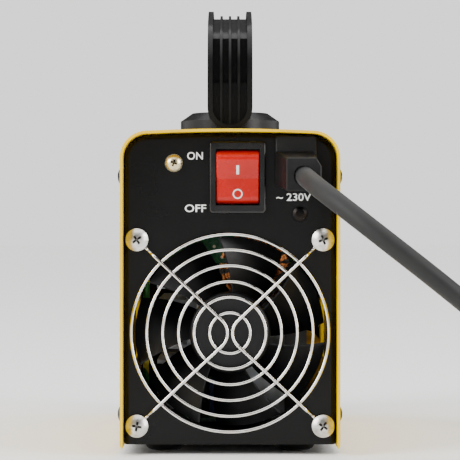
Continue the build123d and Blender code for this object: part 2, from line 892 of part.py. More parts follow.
def gland_outline(width, height):
    # The nose's section: a rectangle with its upper right shoulder cut off.
    x = width / 2
    z = height / 2
    points = [(-x, -z), (x, -z), (x, z - gland_shoulder), (x - gland_shoulder * 0.6, z), (-x, z)]
    face = make_face(Polyline(*points, close=True))
    return fillet(face.vertices(), gland_corner)


def cable_gland():
    outline = Pos(*gland_plate_place) * RectangleRounded(*gland_plate_size, 2.0)
    plate = prism_y(outline, rear_y - gland_plate, rear_y)
    plate = fillet(plate.edges().group_by(Axis.Y)[0], 1.0)
    base = plane_y(rear_y - gland_plate + 0.6) * (Pos(*gland_base) * gland_outline(*gland_base_size))
    tip_centre = (gland_tip[0], gland_tip[1] + 0.5)
    tip = plane_y(rear_y - gland_reach) * (Pos(*tip_centre) * gland_outline(*gland_tip_size))
    nose = loft([base, tip])
    nose = fillet(nose.edges().group_by(Axis.Y)[0], gland_edge)
    neck = rod_y(*gland_hole(), gland_neck, rear_y - 1, rear_y + 8.0)
    start, end = cord_line()
    along = (end - start).normalized()
    bore = extrude(Plane(origin=start - along * 20, z_dir=along) * Circle(cord_radius + fit_gap), 80)
    return plate + nose + neck - bore


def gland_locknut():
    x, z = gland_hole()
    ring = prism_y(Pos(x, z) * RegularPolygon(locknut_radius, 6), rear_y + panel_sheet, rear_y + 5.0)
    return ring - rod_y(x, z, gland_neck, rear_y, rear_y + 6)


def power_cord():
    radii = corner_radii(cord_route)
    print("cord radii", [round(radius, 1) for radius in radii])
    return tube(cord_route, radii, cord_radius)


def exit_route():
    # From the upper layer's outer turn, at 45 degrees, off along the tangent and up to the plug.
    turn = coil_mid + coil_pitch / 2
    share = math.sqrt(0.5)
    start = Vector(coil_x + turn * share, coil_y + turn * share, coil_high)
    away = Vector(-share, share, 0)
    points = [start - away * 8, start + away * 14, start + away * 38, start + away * 56]
    heights = [coil_high, coil_high + 0.6, plug_radius, plug_radius]
    return [(p.X, p.Y, z) for p, z in zip(points, heights)]


def bundle_section():
    # Three turns side by side, with two in the grooves on top.
    wide = coil_pitch + cord_radius
    narrow = coil_pitch / 2 + cord_radius
    middle = coil_low + 1.0
    section = make_face(
        Polyline(
            (coil_mid - wide, coil_low - cord_radius),
            (coil_mid + wide, coil_low - cord_radius),
            (coil_mid + wide, middle),
            (coil_mid + narrow, coil_high + cord_radius),
            (coil_mid - narrow, coil_high + cord_radius),
            (coil_mid - wide, middle),
            close=True,
        )
    )
    return fillet(section.vertices(), bundle_edge)


def cord_coil():
    # The bundle's outer shape, with the cord's last stretch and the stretch to the plug.
    ring = Pos(coil_x, coil_y, 0) * revolve(Plane.XZ * bundle_section(), Axis.Z)
    landing = tube(landing_route, corner_radii(landing_route), cord_radius)
    leaving = tube(exit_route(), corner_radii(exit_route()), cord_radius)
    print("coil radii", [round(radius, 1) for radius in corner_radii(landing_route) + corner_radii(exit_route())])
    return fuse([ring, landing, leaving])


def coil_ties():
    # Two straps round the bundle.
    section = bundle_section()
    strap = offset(section, tie_thick, kind=Kind.ARC) - section
    straps = []
    for angle in tie_angles:
        solid = revolve(Plane.XZ * strap, Axis.Z, tie_sweep)
        straps.append(Pos(coil_x, coil_y, 0) * Rot(0, 0, angle) * solid)
    return group(straps)


def plug_place():
    route = exit_route()
    start = Vector(*route[-1])
    along = (Vector(*route[-1]) - Vector(*route[-2])).normalized()
    level = Vector(along.X, along.Y, 0).normalized()
    return start, level


def plug_frame():
    # A plane at the plug's tail whose z runs along the plug.
    start, level = plug_place()
    return Plane(origin=start, x_dir=Vector(-level.Y, level.X, 0), z_dir=level)


def plug_body():
    outline = Polyline(
        (0, 0), (5.6, 0), (7.4, 22), (11.0, 26), (13.0, 40), (17.0, 46), (plug_radius, 50),
        (plug_radius, 62), (17.6, 63), (0, 63), close=True,
    )
    body = revolve(Plane.XZ * make_face(outline), Axis.Z)
    for side in (-1, 1):
        body -= Pos(0, side * (plug_radius - 1.4), 57) * Box(4.5, 5, 15)
        body -= Pos(side * pin_x, 0, 59) * Cylinder(pin_radius, 12)
    return plug_frame().location * body


def plug_pins():
    pins = []
    for side in (-1, 1):
        pin = Pos(side * pin_x, 0, 53 + pin_long / 2) * Cylinder(pin_radius, pin_long)
        pins.append(pin)
        pins.append(Pos(0, side * (plug_radius - 2.6), 57) * Box(4.0, 1.0, 12) - Pos(0, 0, 70) * Box(20, 60, 10))
    return plug_frame().location * group(pins)


def current_knob():
    skirt = rod_y(0, knob_z, knob_diameter / 2, front_y + 1.6, front_y + 5.0)
    tip = front_y + knob_reach
    grip = turned_y(
        [(0, front_y + 4), (12.0, front_y + 4), (11.0, tip - 1.4), (10.0, tip), (0, tip)],
        0,
        knob_z,
    )
    part = skirt + grip
    for number in range(flute_count):
        flute = rod_y(12.6, 0, 1.5, front_y + 6.0, front_y + knob_reach + 1)
        part -= Pos(0, 0, knob_z) * (Rot(0, 360 / flute_count * number, 0) * flute)
    part -= rod_y(0, knob_z, 7.6, front_y + 1, front_y + 6.0)
    part -= block(-0.6, 0.6, front_y + knob_reach - 0.6, front_y + knob_reach + 1, knob_z + 2.0, knob_z + 10.5)
    return part - rod_y(0, knob_z, shaft_thick, front_y + 1, front_y + 14)


def knob_shaft():
    return rod_y(0, knob_z, shaft_thick, front_y - 12, front_y + 14)


def potentiometer():
    body = rod_y(0, knob_z, 8.5, front_y - 16, front_y - panel_sheet)
    neck = rod_y(0, knob_z, neck_radius, front_y - 3, front_y + 4.0)
    pins = block(-6, 6, front_y - 14, front_y - 12.5, knob_z - 15, knob_z - 5)
    return body + neck + pins - rod_y(0, knob_z, shaft_thick + running_gap, front_y - 12.4, front_y + 5)


def potentiometer_nut():
    ring = prism_y(Pos(0, knob_z) * RegularPolygon(6.2, 6), front_y, front_y + 2.2)
    return ring - rod_y(0, knob_z, neck_radius, front_y - 1, front_y + 3)


def display_window():
    pane = Pos(0, window_z) * Rectangle(window_width, window_height)
    part = prism_y(pane, front_y, front_y + film_thick)
    back = Pos(0, window_z) * Rectangle(window_width - 4.4, window_height - 4.4)
    return part + prism_y(back, front_y - 6, front_y + 0.1)


def indicator_leds():
    return group([rod_y(x, window_z, lamp_radius, front_y - 8, front_y + 1.4) for x in lamp_places()])


def control_board():
    face = front_y - control_board_gap
    part = block(-38, 38, face - board_thick, face, 82, 132)
    for x in lamp_places():
        part += rod_y(x, window_z, lamp_radius + 0.5, face - 0.5, front_y - 8)
    part += block(-14, 14, face - 0.5, front_y - 6, window_z - 6, window_z + 6)
    part += block(-34, -24, face - 8, face - 1, 88, 104)
    for x in (-34, 34):
        part += rod_y(x, 129, 2.2, face - 0.5, front_y - panel_sheet)
    return part


def socket_insulators():
    outline = [
        (8.0, -16), (12.0, -16), (12.0, 0), (17.0, 0), (17.0, 3.2), (15.8, 4.2),
        (14.2, 4.4), (13.6, 10.4), (12.8, 11.0), (9.4, 11.0), (9.4, 3.0), (8.0, 3.0),
    ]
    solids = []
    for side in (-1, 1):
        points = [(radius, front_y + y) for radius, y in outline]
        solids.append(turned_y(points, side * socket_x, socket_z))
    return group(solids)


def socket_contacts():
    solids = []
    for side in (-1, 1):
        x = side * socket_x
        part = rod_y(x, socket_z, 8.0, front_y + 3 - socket_depth - 4, front_y + 3)
        part += rod_y(x, socket_z, stud_radius, front_y - 42, front_y - 20)
        part -= rod_y(x, socket_z, socket_bore, front_y + 3 - socket_depth, front_y + 4)
        slot = block(x - 1.6, x + 1.6, front_y + 3 - socket_depth, front_y + 4, socket_z, socket_z + 6.4)
        solids.append(part - slot)
    return group(solids)


def socket_nuts():
    solids = []
    for side in (-1, 1):
        x = side * socket_x
        ring = prism_y(Pos(x, socket_z) * RegularPolygon(15.0, 6), front_y - 7, front_y - panel_sheet)
        solids.append(ring - rod_y(x, socket_z, socket_hole, front_y - 10, front_y))
        small = prism_y(Pos(x, socket_z) * RegularPolygon(9.0, 6), front_y - 38, front_y - 31)
        solids.append(small - rod_y(x, socket_z, stud_radius, front_y - 40, front_y - 30))
    return group(solids)


def busbars():
    solids = []
    for side in (-1, 1):
        x = side * socket_x
        bar = block(x - 8, x + 8, front_y - 31, front_y - 28, board_top, socket_z + 9)
        bar += block(x - 8, x + 8, front_y - 45, front_y - 28, board_top, board_top + 3)
        solids.append(bar - rod_y(x, socket_z, stud_radius, front_y - 32, front_y - 27))
    return group(solids)


def main_board():
    part = block(-board_width / 2, board_width / 2, rear_y + 34, front_y - 22, board_z, board_top)
    for x, y in board_places():
        part -= rod_z(x, y, board_screw + fit_gap, board_z - 1, board_top + 1)
    return part


def board_standoffs():
    posts = []
    for x, y in board_places():
        hexagon = extrude(Plane.XY.offset(tray_top) * RegularPolygon(3.2, 6), standoff)
        posts.append(Pos(x, y, 0) * hexagon + rod_z(x, y, board_screw, case_floor, tray_top + 0.5))
        posts[-1] -= rod_z(x, y, board_screw, tray_top + 2, board_z + 1)
    return group(posts)


def board_screws():
    screws = []
    for x, y in board_places():
        shank = rod_z(x, y, board_screw, tray_top + 2, board_top + 0.5)
        screws.append(shank + rod_z(x, y, 2 * board_screw, board_top, board_top + 2.2))
    return group(screws)


def heat_sinks():
    sinks = []
    for start, long, _ in sink_spans:
        sink = block(-20, -15.5, start, start + long, board_top, board_top + sink_height)
        for number in range(sink_fins):
            z = board_top + 3 + sink_pitch * number
            sink += block(-34, -19, start, start + long, z, z + 1.8)
        sinks.append(sink)
    return group(sinks)


def transistors():
    solids = []
    for start, _, count in sink_spans:
        for number in range(count):
            y = start + 3 + 17 * number
            body = block(-15.5, -10.5, y, y + 15.6, board_top + 6, board_top + 27)
            for leg in (-4.6, 0.0, 4.6):
                body += block(-13.4, -12.6, y + 7.8 + leg - 0.6, y + 7.8 + leg + 0.6, board_top, board_top + 7)
            solids.append(body)
    return group(solids)


def bulk_capacitors():
    cans = []
    for x, y in capacitor_places:
        can = rod_z(x, y, capacitor_radius, board_top, board_top + capacitor_height)
        can = fillet(can.edges().group_by(Axis.Z)[-1], 1.5)
        groove = Pos(x, y, board_top + 5) * Torus(capacitor_radius + 0.5, 1.2)
        cans.append(can - groove)
    return group(cans)


def transformer_core():
    low, high = core_x
    legs = block(low, high, core_rear, core_rear + core_long, board_top, board_top + core_height)
    window = block(low - 1, high + 1, core_rear + 9, core_rear + 35, board_top + 8, board_top + 17)
    legs -= window
    return legs - Pos(0, 0, 21) * window


def transformer_windings():
    low, high = core_x
    coil = block(2.5, 43, core_rear + 9.5, core_rear + 34.5, board_top + 8.4, board_top + 37.6)
    coil = fillet(coil.edges().filter_by(Axis.Y), 6)
    return coil - block(low, high, core_rear, core_rear + core_long, board_top + 17, board_top + 29)


def choke_place():
    return (choke_x, rear_y + 46, fan_z + choke_rise)


def choke_core():
    x, y, z = choke_place()
    ring = rod_y(x, z, choke_outer, y - choke_half, y + choke_half)
    return ring - rod_y(x, z, choke_inner, y - choke_half - 1, y + choke_half + 1)


def choke_winding():
    # Thick turns laid side by side round the ring, all but a gap at the bottom.
    x, y, z = choke_place()
    loop = RectangleRounded(9.5, 16.0, 3.0) - Rectangle(5.8, 12.0)
    turn = extrude(Plane.XY * (Pos(12.25, 0) * loop), 1.25, both=True)
    turns = []
    for number in range(choke_turns):
        angle = -72 + 18 * number
        turns.append(Pos(x, y, z) * Rot(0, -angle, 0) * turn)
    return fuse(turns)


def choke_bracket():
    x, y, z = choke_place()
    plate = block(x - 13, x + 13, y + 10, y + 11.5, board_top, z + 6)
    arm = rod_y(x, z, 4.0, y - 10, y + 10.5)
    cap = rod_y(x, z, 7.0, y - 11.5, y - 9.5)
    return plate + arm + cap


def bridge_rectifier():
    start = middle_y + 20
    body = block(-41.0, -34.2, start, start + 26, board_top + 4, board_top + 30)
    for number in range(4):
        y = start + 3 + 6.3 * number
        body += block(-38.2, -37.0, y, y + 1.2, board_top, board_top + 5)
    return body


def relay():
    part = block(-10, 2, rear_y + 62, rear_y + 82, board_top, board_top + 16)
    return fillet(part.edges().filter_by(Axis.Z), 0.6)


def mains_wires():
    start, end = cord_line()
    back = (start - end).normalized()
    level = (Vector(0, 0, 1) - back * back.Z).normalized()
    wires = []
    for side in (-1, 1):
        target = (switch_x + side * terminal_x, switch_z - side * terminal_z)
        first = start + level * (side * 1.8)
        second = first + back * 16
        points = [
            (first.X, first.Y, first.Z),
            (second.X, second.Y, second.Z),
            (22.0, rear_y + 45 + 2 * side, 129 + side * 3),
            (12.0, rear_y + 51 + 2 * side, 126 + side * 4),
            (target[0] + 1.0, rear_y + 46, target[1]),
            (target[0], rear_y + 34, target[1]),
        ]
        wires.append(tube(points, [min(6.0, radius) for radius in corner_radii(points)], mains_wire))
    return group(wires)


def earth_wire():
    points = [
        (earth_x, rear_y + 3.0, 116.5),
        (earth_x, rear_y + 6.0, 109.5),
        (-30.0, rear_y + 27.0, 104.5),
        (-38.0, rear_y + 33.0, 90.0),
        (-38.5, rear_y + 33.0, 45.0),
        (-38.5, rear_y + 38.0, board_top + 1.5),
    ]
    return tube(points, [min(7.0, radius) for radius in corner_radii(points)], earth_wire_radius)


parts = {
    "cover": cover,
    "base_tray": base_tray,
    "rear_panel": rear_panel,
    "front_panel": front_panel,
    "control_overlay": control_overlay,
    "handle": handle,
    "handle_pads": handle_pads,
    "handle_screws": handle_screws,
    "rubber_feet": rubber_feet,
    "foot_nuts": foot_nuts,
    "cover_screws": cover_screws,
    "fan_frame": fan_frame,
    "fan_rotor": fan_rotor,
    "fan_magnet_ring": fan_magnet_ring,
    "fan_stator": fan_stator,
    "fan_shaft": fan_shaft,
    "fan_bearing": fan_bearing,
    "finger_guard": finger_guard,
    "fan_screws": fan_screws,
    "switch_housing": switch_housing,
    "switch_rocker": switch_rocker,
    "switch_terminals": switch_terminals,
    "earth_screw": earth_screw,
    "earth_nut": earth_nut,
    "blind_rivet": blind_rivet,
    "cable_gland": cable_gland,
    "gland_locknut": gland_locknut,
    "power_cord": power_cord,
    "cord_coil": cord_coil,
    "coil_ties": coil_ties,
    "plug_body": plug_body,
    "plug_pins": plug_pins,
    "current_knob": current_knob,
    "knob_shaft": knob_shaft,
    "potentiometer": potentiometer,
    "potentiometer_nut": potentiometer_nut,
    "display_window": display_window,
    "indicator_leds": indicator_leds,
    "control_board": control_board,
    "socket_insulators": socket_insulators,
    "socket_contacts": socket_contacts,
    "socket_nuts": socket_nuts,
    "busbars": busbars,
    "main_board": main_board,
    "board_standoffs": board_standoffs,
    "board_screws": board_screws,
    "heat_sinks": heat_sinks,
    "transistors": transistors,
    "bulk_capacitors": bulk_capacitors,
    "transformer_core": transformer_core,
    "transformer_windings": transformer_windings,
    "choke_core": choke_core,
    "choke_winding": choke_winding,
    "choke_bracket": choke_bracket,
    "bridge_rectifier": bridge_rectifier,
    "relay": relay,
    "mains_wires": mains_wires,
    "earth_wire": earth_wire,
}

os.makedirs("parts", exist_ok=True)
for name, make in parts.items():
    shape = make()
    box = shape.bounding_box()
    print(name, round(shape.volume, 1), [round(v, 2) for v in (*box.min, *box.max)])
    export_step(shape, f"parts/{name}.step")
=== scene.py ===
import json
import math

import bmesh
import bpy
from mathutils import Matrix, Vector


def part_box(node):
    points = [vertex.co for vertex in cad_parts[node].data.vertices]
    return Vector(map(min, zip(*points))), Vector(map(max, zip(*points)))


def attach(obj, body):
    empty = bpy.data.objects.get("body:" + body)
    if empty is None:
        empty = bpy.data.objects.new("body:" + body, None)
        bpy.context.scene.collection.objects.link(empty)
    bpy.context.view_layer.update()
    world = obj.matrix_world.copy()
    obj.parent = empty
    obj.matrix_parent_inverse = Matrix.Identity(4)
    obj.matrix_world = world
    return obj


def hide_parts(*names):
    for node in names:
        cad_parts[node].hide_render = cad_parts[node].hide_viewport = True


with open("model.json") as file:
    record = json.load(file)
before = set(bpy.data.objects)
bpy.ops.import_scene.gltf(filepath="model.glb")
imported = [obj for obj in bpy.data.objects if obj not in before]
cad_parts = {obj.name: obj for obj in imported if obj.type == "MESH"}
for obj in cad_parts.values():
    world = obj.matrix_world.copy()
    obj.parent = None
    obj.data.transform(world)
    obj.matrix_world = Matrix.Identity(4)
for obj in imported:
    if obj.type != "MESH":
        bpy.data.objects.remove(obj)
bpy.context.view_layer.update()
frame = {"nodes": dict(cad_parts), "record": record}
nodes = frame["nodes"]
mm = 0.001
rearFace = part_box("rear_panel")[0].y  # the rear panel's outer face
print("frame loaded,", len(nodes), "nodes")


# ---- helpers

def hexColor(text, alpha=1.0):
    # sRGB hex to the linear values that shaders take
    values = [int(text[i:i + 2], 16) / 255 for i in (1, 3, 5)]
    linear = [v / 12.92 if v <= 0.04045 else ((v + 0.055) / 1.055) ** 2.4 for v in values]
    return (*linear, alpha)


def addNode(tree, kind, inputs=None, **settings):
    # adds a node, sets its properties, and fills or links its inputs
    node = tree.nodes.new(kind)
    for name, value in settings.items():
        setattr(node, name, value)
    for name, value in (inputs or {}).items():
        if isinstance(value, bpy.types.NodeSocket):
            tree.links.new(value, node.inputs[name])
        else:
            node.inputs[name].default_value = value
    return node


def perMetre(size):
    # how often a pattern of this size in millimetres repeats in a metre
    return 1000 / size


def newObject(name, data, body="case"):
    piece = bpy.data.objects.new(name, data)
    bpy.context.scene.collection.objects.link(piece)
    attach(piece, body)
    return piece


# ---- camera

camera = {"distance": 1.0, "height": 0.0996, "viewWidth": 0.204, "sensor": 36.0, "farthest": 20.0}


def makeCamera(size):
    data = bpy.data.cameras.new("camera")
    data.sensor_width = size["sensor"]
    data.lens = size["sensor"] * size["distance"] / size["viewWidth"]
    data.clip_end = size["farthest"]
    piece = bpy.data.objects.new("camera", data)
    piece.location = (0, rearFace - size["distance"], size["height"])
    piece.rotation_euler = (math.pi / 2, 0, 0)
    bpy.context.scene.collection.objects.link(piece)
    bpy.context.scene.camera = piece


makeCamera(camera)
print("camera placed")

# ---- mains cord: out of the gland, round to the right, down to the floor and into its coil

cord = {
    "diameter": 8.6 * mm,
    "length": 2.0,
    "tie": 1.0 * mm,
    "coilMiddle": 50.0 * mm,
    "coilPitch": 9.0 * mm,
    "turns": 5,
    "lastTurn": 0.375,  # the part of a turn after the whole ones
    "movePoints": 5,  # points over which the cord moves across to the next lap
    "plugRadius": 18.5 * mm,
    "pointsPerTurn": 16,
}

# The route's points in millimetres, with Y counted from the rear panel's face
cordRoute = [
    (27.3, 8.9, 129.2),
    (34.2, -31.6, 120.6),
    (44.9, -48.9, 111.6),
    (61.6, -60.6, 98.0),
    (88.6, -63.4, 76.8),
    (114.5, -60.5, 55.6),
    (137.0, -56.0, 29.5),
    (165.0, -52.25, 10.5),
    (191.0, -50.4, 5.3),
    (209.0, -50.4, 5.3),
]


def coilPoints(size):
    # five turns: inwards on the floor, then outwards in the grooves on top, and off to the plug
    pitch = size["coilPitch"]
    radius = size["diameter"] / 2
    low = size["tie"] + radius
    high = low + math.sqrt(size["diameter"] ** 2 - (pitch / 2) ** 2)
    middle = size["coilMiddle"]
    laps = [
        (middle + pitch, low),
        (middle, low),
        (middle - pitch, low),
        (middle - pitch / 2, high),
        (middle + pitch / 2, high),
        (middle + pitch / 2, high),
    ]
    start = Vector(cordRoute[-1]) * mm + Vector((0, rearFace, 0))
    centre = start + Vector((0, middle + pitch, 0))
    steps = size["pointsPerTurn"]
    blend = size["movePoints"]
    last = size["turns"] * steps + int(steps * size["lastTurn"])
    points = []
    for step in range(1, last + 1):
        lap, place = divmod(step, steps)
        share = min(1.0, max(0.0, (place - (steps - blend)) / blend))
        share = share * share * (3 - 2 * share)
        here, there = laps[lap], laps[min(lap + 1, len(laps) - 1)]
        radiusHere = here[0] + (there[0] - here[0]) * share
        height = here[1] + (there[1] - here[1]) * share
        # a NURBS curve cuts inside its points, so they stand out by this much
        radiusHere /= math.cos(math.pi / steps) ** 0.5
        angle = -math.pi / 2 + 2 * math.pi * step / steps
        points.append(
            (centre.x + radiusHere * math.cos(angle), centre.y + radiusHere * math.sin(angle), height)
        )
    # off along the tangent and up to the plug's axis
    share = math.sqrt(0.5)
    turn = middle + pitch / 2
    leave = Vector((centre.x + turn * share, centre.y + turn * share, high))
    away = Vector((-share, share, 0))
    for along, height in ((14, high + 0.6 * mm), (38, size["plugRadius"]), (58, size["plugRadius"])):
        spot = leave + away * along * mm
        points.append((spot.x, spot.y, height))
    return points


def makeCord(size):
    route = [(x * mm, y * mm + rearFace, z * mm) for x, y, z in cordRoute] + coilPoints(size)
    data = bpy.data.curves.new("mainsCord", "CURVE")
    data.dimensions = "3D"
    spline = data.splines.new("NURBS")
    spline.points.add(len(route) - 1)
    for point, place in zip(spline.points, route):
        point.co = (*place, 1.0)
        # the box grows by this, so it holds the size and the bevel stays 1
        point.radius = size["diameter"] / 2
    spline.order_u = 3
    spline.use_endpoint_u = True
    spline.resolution_u = 8
    data.bevel_depth = 1.0
    data.bevel_resolution = 6
    data.use_fill_caps = True
    piece = newObject("mainsCord", data, "case")
    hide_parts("power_cord", "cord_coil")
    return piece


mainsCord = makeCord(cord)
print("cord laid")

# ---- materials


def startMaterial(look):
    # a Principled shader with its fixed values, and the place in metres that patterns follow
    material = bpy.data.materials.new(look["name"])
    material.use_nodes = True
    tree = material.node_tree
    shader = tree.nodes["Principled BSDF"]
    for socket, value in look.get("sockets", {}).items():
        shader.inputs[socket].default_value = value
    place = addNode(tree, "ShaderNodeTexCoord").outputs["Object"]
    if "stretch" in look:
        place = addNode(
            tree, "ShaderNodeMapping", {"Vector": place, "Scale": look["stretch"]}
        ).outputs["Vector"]
    return material, tree, shader, place


def finishGrain(tree, shader, look, height, spread):
    # roughness that wanders between its two values, and relief of a real depth
    low, high = look["roughness"]
    rough = addNode(
        tree,
        "ShaderNodeMapRange",
        {"Value": spread, "From Min": 0.3, "From Max": 0.7, "To Min": low, "To Max": high},
    )
    tree.links.new(rough.outputs["Result"], shader.inputs["Roughness"])
    relief = addNode(
        tree,
        "ShaderNodeBump",
        {"Height": height, "Strength": look["relief"], "Distance": look["depth"] * mm},
    )
    tree.links.new(relief.outputs["Normal"], shader.inputs["Normal"])


def darkenCorners(tree, look, color):
    # painted shade: a darker colour mixed in where ambient occlusion finds recesses narrower than the
    # given width
    if "crevice" not in look:
        return color
    hidden = addNode(tree, "ShaderNodeAmbientOcclusion", {"Distance": look["crevice"] * mm}, samples=6)
    depth = addNode(
        tree, "ShaderNodeMapRange", {"Value": hidden.outputs["AO"], "From Min": 0.4, "From Max": 0.97}
    )
    return addNode(
        tree,
        "ShaderNodeMixRGB",
        {"Fac": depth.outputs["Result"], "Color1": hexColor(look["recessShade"]), "Color2": color},
    ).outputs["Color"]


def grainedMaterial(look):
    # paint, moulded plastic and rubber: cloudy colour, fine grain, and specks of dust or pigment
    material, tree, shader, place = startMaterial(look)
    cloud = addNode(
        tree, "ShaderNodeTexNoise", {"Vector": place, "Scale": perMetre(look["cloud"]), "Detail": 3.0}
    )
    grain = addNode(
        tree, "ShaderNodeTexNoise", {"Vector": place, "Scale": perMetre(look["grain"]), "Detail": 2.0}
    )
    blend = addNode(
        tree, "ShaderNodeMapRange", {"Value": cloud.outputs["Fac"], "From Min": 0.35, "From Max": 0.65}
    )
    shade = addNode(
        tree,
        "ShaderNodeMixRGB",
        {
            "Fac": blend.outputs["Result"],
            "Color1": hexColor(look["shade"]),
            "Color2": hexColor(look["otherShade"]),
        },
    )
    color = shade.outputs["Color"]
    if "speck" in look:
        dots = addNode(
            tree, "ShaderNodeTexVoronoi", {"Vector": place, "Scale": perMetre(look["speckSpacing"])}
        )
        near = addNode(
            tree,
            "ShaderNodeMapRange",
            {
                "Value": dots.outputs["Distance"],
                "From Min": 0.1,
                "From Max": 0.16,
                "To Min": 0.7,
                "To Max": 0.0,
            },
        )
        speckled = addNode(
            tree,
            "ShaderNodeMixRGB",
            {"Fac": near.outputs["Result"], "Color1": color, "Color2": hexColor(look["speck"])},
        )
        color = speckled.outputs["Color"]
    tree.links.new(darkenCorners(tree, look, color), shader.inputs["Base Color"])
    finishGrain(tree, shader, look, grain.outputs["Fac"], cloud.outputs["Fac"])
    return material


def metalMaterial(look):
    # bare and plated metal: streaks along the way it was drawn or turned, and stains that dull it
    material, tree, shader, place = startMaterial(look)
    streak = addNode(
        tree, "ShaderNodeTexNoise", {"Vector": place, "Scale": perMetre(look["grain"]), "Detail": 4.0}
    )
    stain = addNode(
        tree, "ShaderNodeTexNoise", {"Vector": place, "Scale": perMetre(look["cloud"]), "Detail": 2.0}
    )
    blend = addNode(
        tree, "ShaderNodeMapRange", {"Value": stain.outputs["Fac"], "From Min": 0.35, "From Max": 0.7}
    )
    shade = addNode(
        tree,
        "ShaderNodeMixRGB",
        {
            "Fac": blend.outputs["Result"],
            "Color1": hexColor(look["shade"]),
            "Color2": hexColor(look["otherShade"]),
        },
    )
    tree.links.new(darkenCorners(tree, look, shade.outputs["Color"]), shader.inputs["Base Color"])
    finishGrain(tree, shader, look, streak.outputs["Fac"], streak.outputs["Fac"])
    return material


def bandedMaterial(look):
    # turns of wire or tape and woven straps: even bands, with a dark line between neighbours
    material, tree, shader, place = startMaterial(look)
    bands = addNode(
        tree,
        "ShaderNodeTexWave",
        {
            "Vector": place,
            "Scale": perMetre(look["band"]) / 20 * math.pi,
            "Distortion": look.get("waver", 0.3),
        },
        wave_type="BANDS",
        bands_direction=look.get("direction", "Z"),
    )
    cloud = addNode(
        tree, "ShaderNodeTexNoise", {"Vector": place, "Scale": perMetre(look["cloud"]), "Detail": 3.0}
    )
    shade = addNode(
        tree,
        "ShaderNodeMixRGB",
        {"Fac": bands.outputs["Fac"], "Color1": hexColor(look["gap"]), "Color2": hexColor(look["shade"])},
    )
    aged = addNode(
        tree,
        "ShaderNodeMixRGB",
        {
            "Fac": cloud.outputs["Fac"],
            "Color1": shade.outputs["Color"],
            "Color2": hexColor(look["otherShade"]),
        },
    )
    mixed = addNode(
        tree,
        "ShaderNodeMixRGB",
        {"Fac": bands.outputs["Fac"], "Color1": shade.outputs["Color"], "Color2": aged.outputs["Color"]},
    )
    tree.links.new(mixed.outputs["Color"], shader.inputs["Base Color"])
    finishGrain(tree, shader, look, bands.outputs["Fac"], cloud.outputs["Fac"])
    return material


def circuitBoard(look):
    # solder mask over copper: tracks between pads, seen as paler green lines and tinned dots
    material, tree, shader, place = startMaterial(look)
    tracks = addNode(
        tree,
        "ShaderNodeTexBrick",
        {
            "Vector": place,
            "Scale": perMetre(look["track"]),
            "Mortar Size": 0.04,
            "Color1": hexColor(look["shade"]),
            "Color2": hexColor(look["otherShade"]),
            "Mortar": hexColor(look["line"]),
        },
    )
    pads = addNode(
        tree,
        "ShaderNodeTexVoronoi",
        {"Vector": place, "Scale": perMetre(look["padSpacing"]), "Randomness": 0.35},
    )
    near = addNode(
        tree,
        "ShaderNodeMapRange",
        {
            "Value": pads.outputs["Distance"],
            "From Min": 0.16,
            "From Max": 0.2,
            "To Min": 1.0,
            "To Max": 0.0,
        },
    )
    shade = addNode(
        tree,
        "ShaderNodeMixRGB",
        {
            "Fac": near.outputs["Result"],
            "Color1": tracks.outputs["Color"],
            "Color2": hexColor(look["pad"]),
        },
    )
    tree.links.new(shade.outputs["Color"], shader.inputs["Base Color"])
    finishGrain(tree, shader, look, near.outputs["Result"], pads.outputs["Distance"])
    return material


def earthInsulation(look):
    # PVC in two colours: a yellow stripe laid round the green
    material, tree, shader, place = startMaterial(look)
    split = addNode(
        tree,
        "ShaderNodeTexWave",
        {"Vector": place, "Scale": perMetre(look["band"]) / 20 * math.pi},
        bands_direction="DIAGONAL",
    )
    edge = addNode(
        tree, "ShaderNodeMapRange", {"Value": split.outputs["Fac"], "From Min": 0.62, "From Max": 0.68}
    )
    shade = addNode(
        tree,
        "ShaderNodeMixRGB",
        {
            "Fac": edge.outputs["Result"],
            "Color1": hexColor(look["shade"]),
            "Color2": hexColor(look["otherShade"]),
        },
    )
    grain = addNode(tree, "ShaderNodeTexNoise", {"Vector": place, "Scale": perMetre(look["grain"])})
    tree.links.new(shade.outputs["Color"], shader.inputs["Base Color"])
    finishGrain(tree, shader, look, grain.outputs["Fac"], grain.outputs["Fac"])
    return material


def capacitorSleeve(look):
    # shrunk PET sleeve: glossy black, with a pale stripe down the outer side of each can
    material, tree, shader, place = startMaterial(look)
    parts = addNode(tree, "ShaderNodeSeparateXYZ", {"Vector": place})
    side = addNode(
        tree,
        "ShaderNodeMapRange",
        {
            "Value": parts.outputs["X"],
            "From Min": look["stripeFrom"] * mm,
            "From Max": (look["stripeFrom"] + 0.3) * mm,
        },
    )
    top = addNode(
        tree,
        "ShaderNodeMapRange",
        {"Value": parts.outputs["Z"], "From Min": look["top"] * mm, "From Max": (look["top"] + 0.2) * mm},
    )
    striped = addNode(
        tree,
        "ShaderNodeMixRGB",
        {
            "Fac": side.outputs["Result"],
            "Color1": hexColor(look["shade"]),
            "Color2": hexColor(look["stripe"]),
        },
    )
    shade = addNode(
        tree,
        "ShaderNodeMixRGB",
        {
            "Fac": top.outputs["Result"],
            "Color1": striped.outputs["Color"],
            "Color2": hexColor(look["can"]),
        },
    )
    wrinkle = addNode(
        tree, "ShaderNodeTexNoise", {"Vector": place, "Scale": perMetre(look["grain"]), "Detail": 1.0}
    )
    tree.links.new(shade.outputs["Color"], shader.inputs["Base Color"])
    finishGrain(tree, shader, look, wrinkle.outputs["Fac"], wrinkle.outputs["Fac"])
    return material


materials = {}

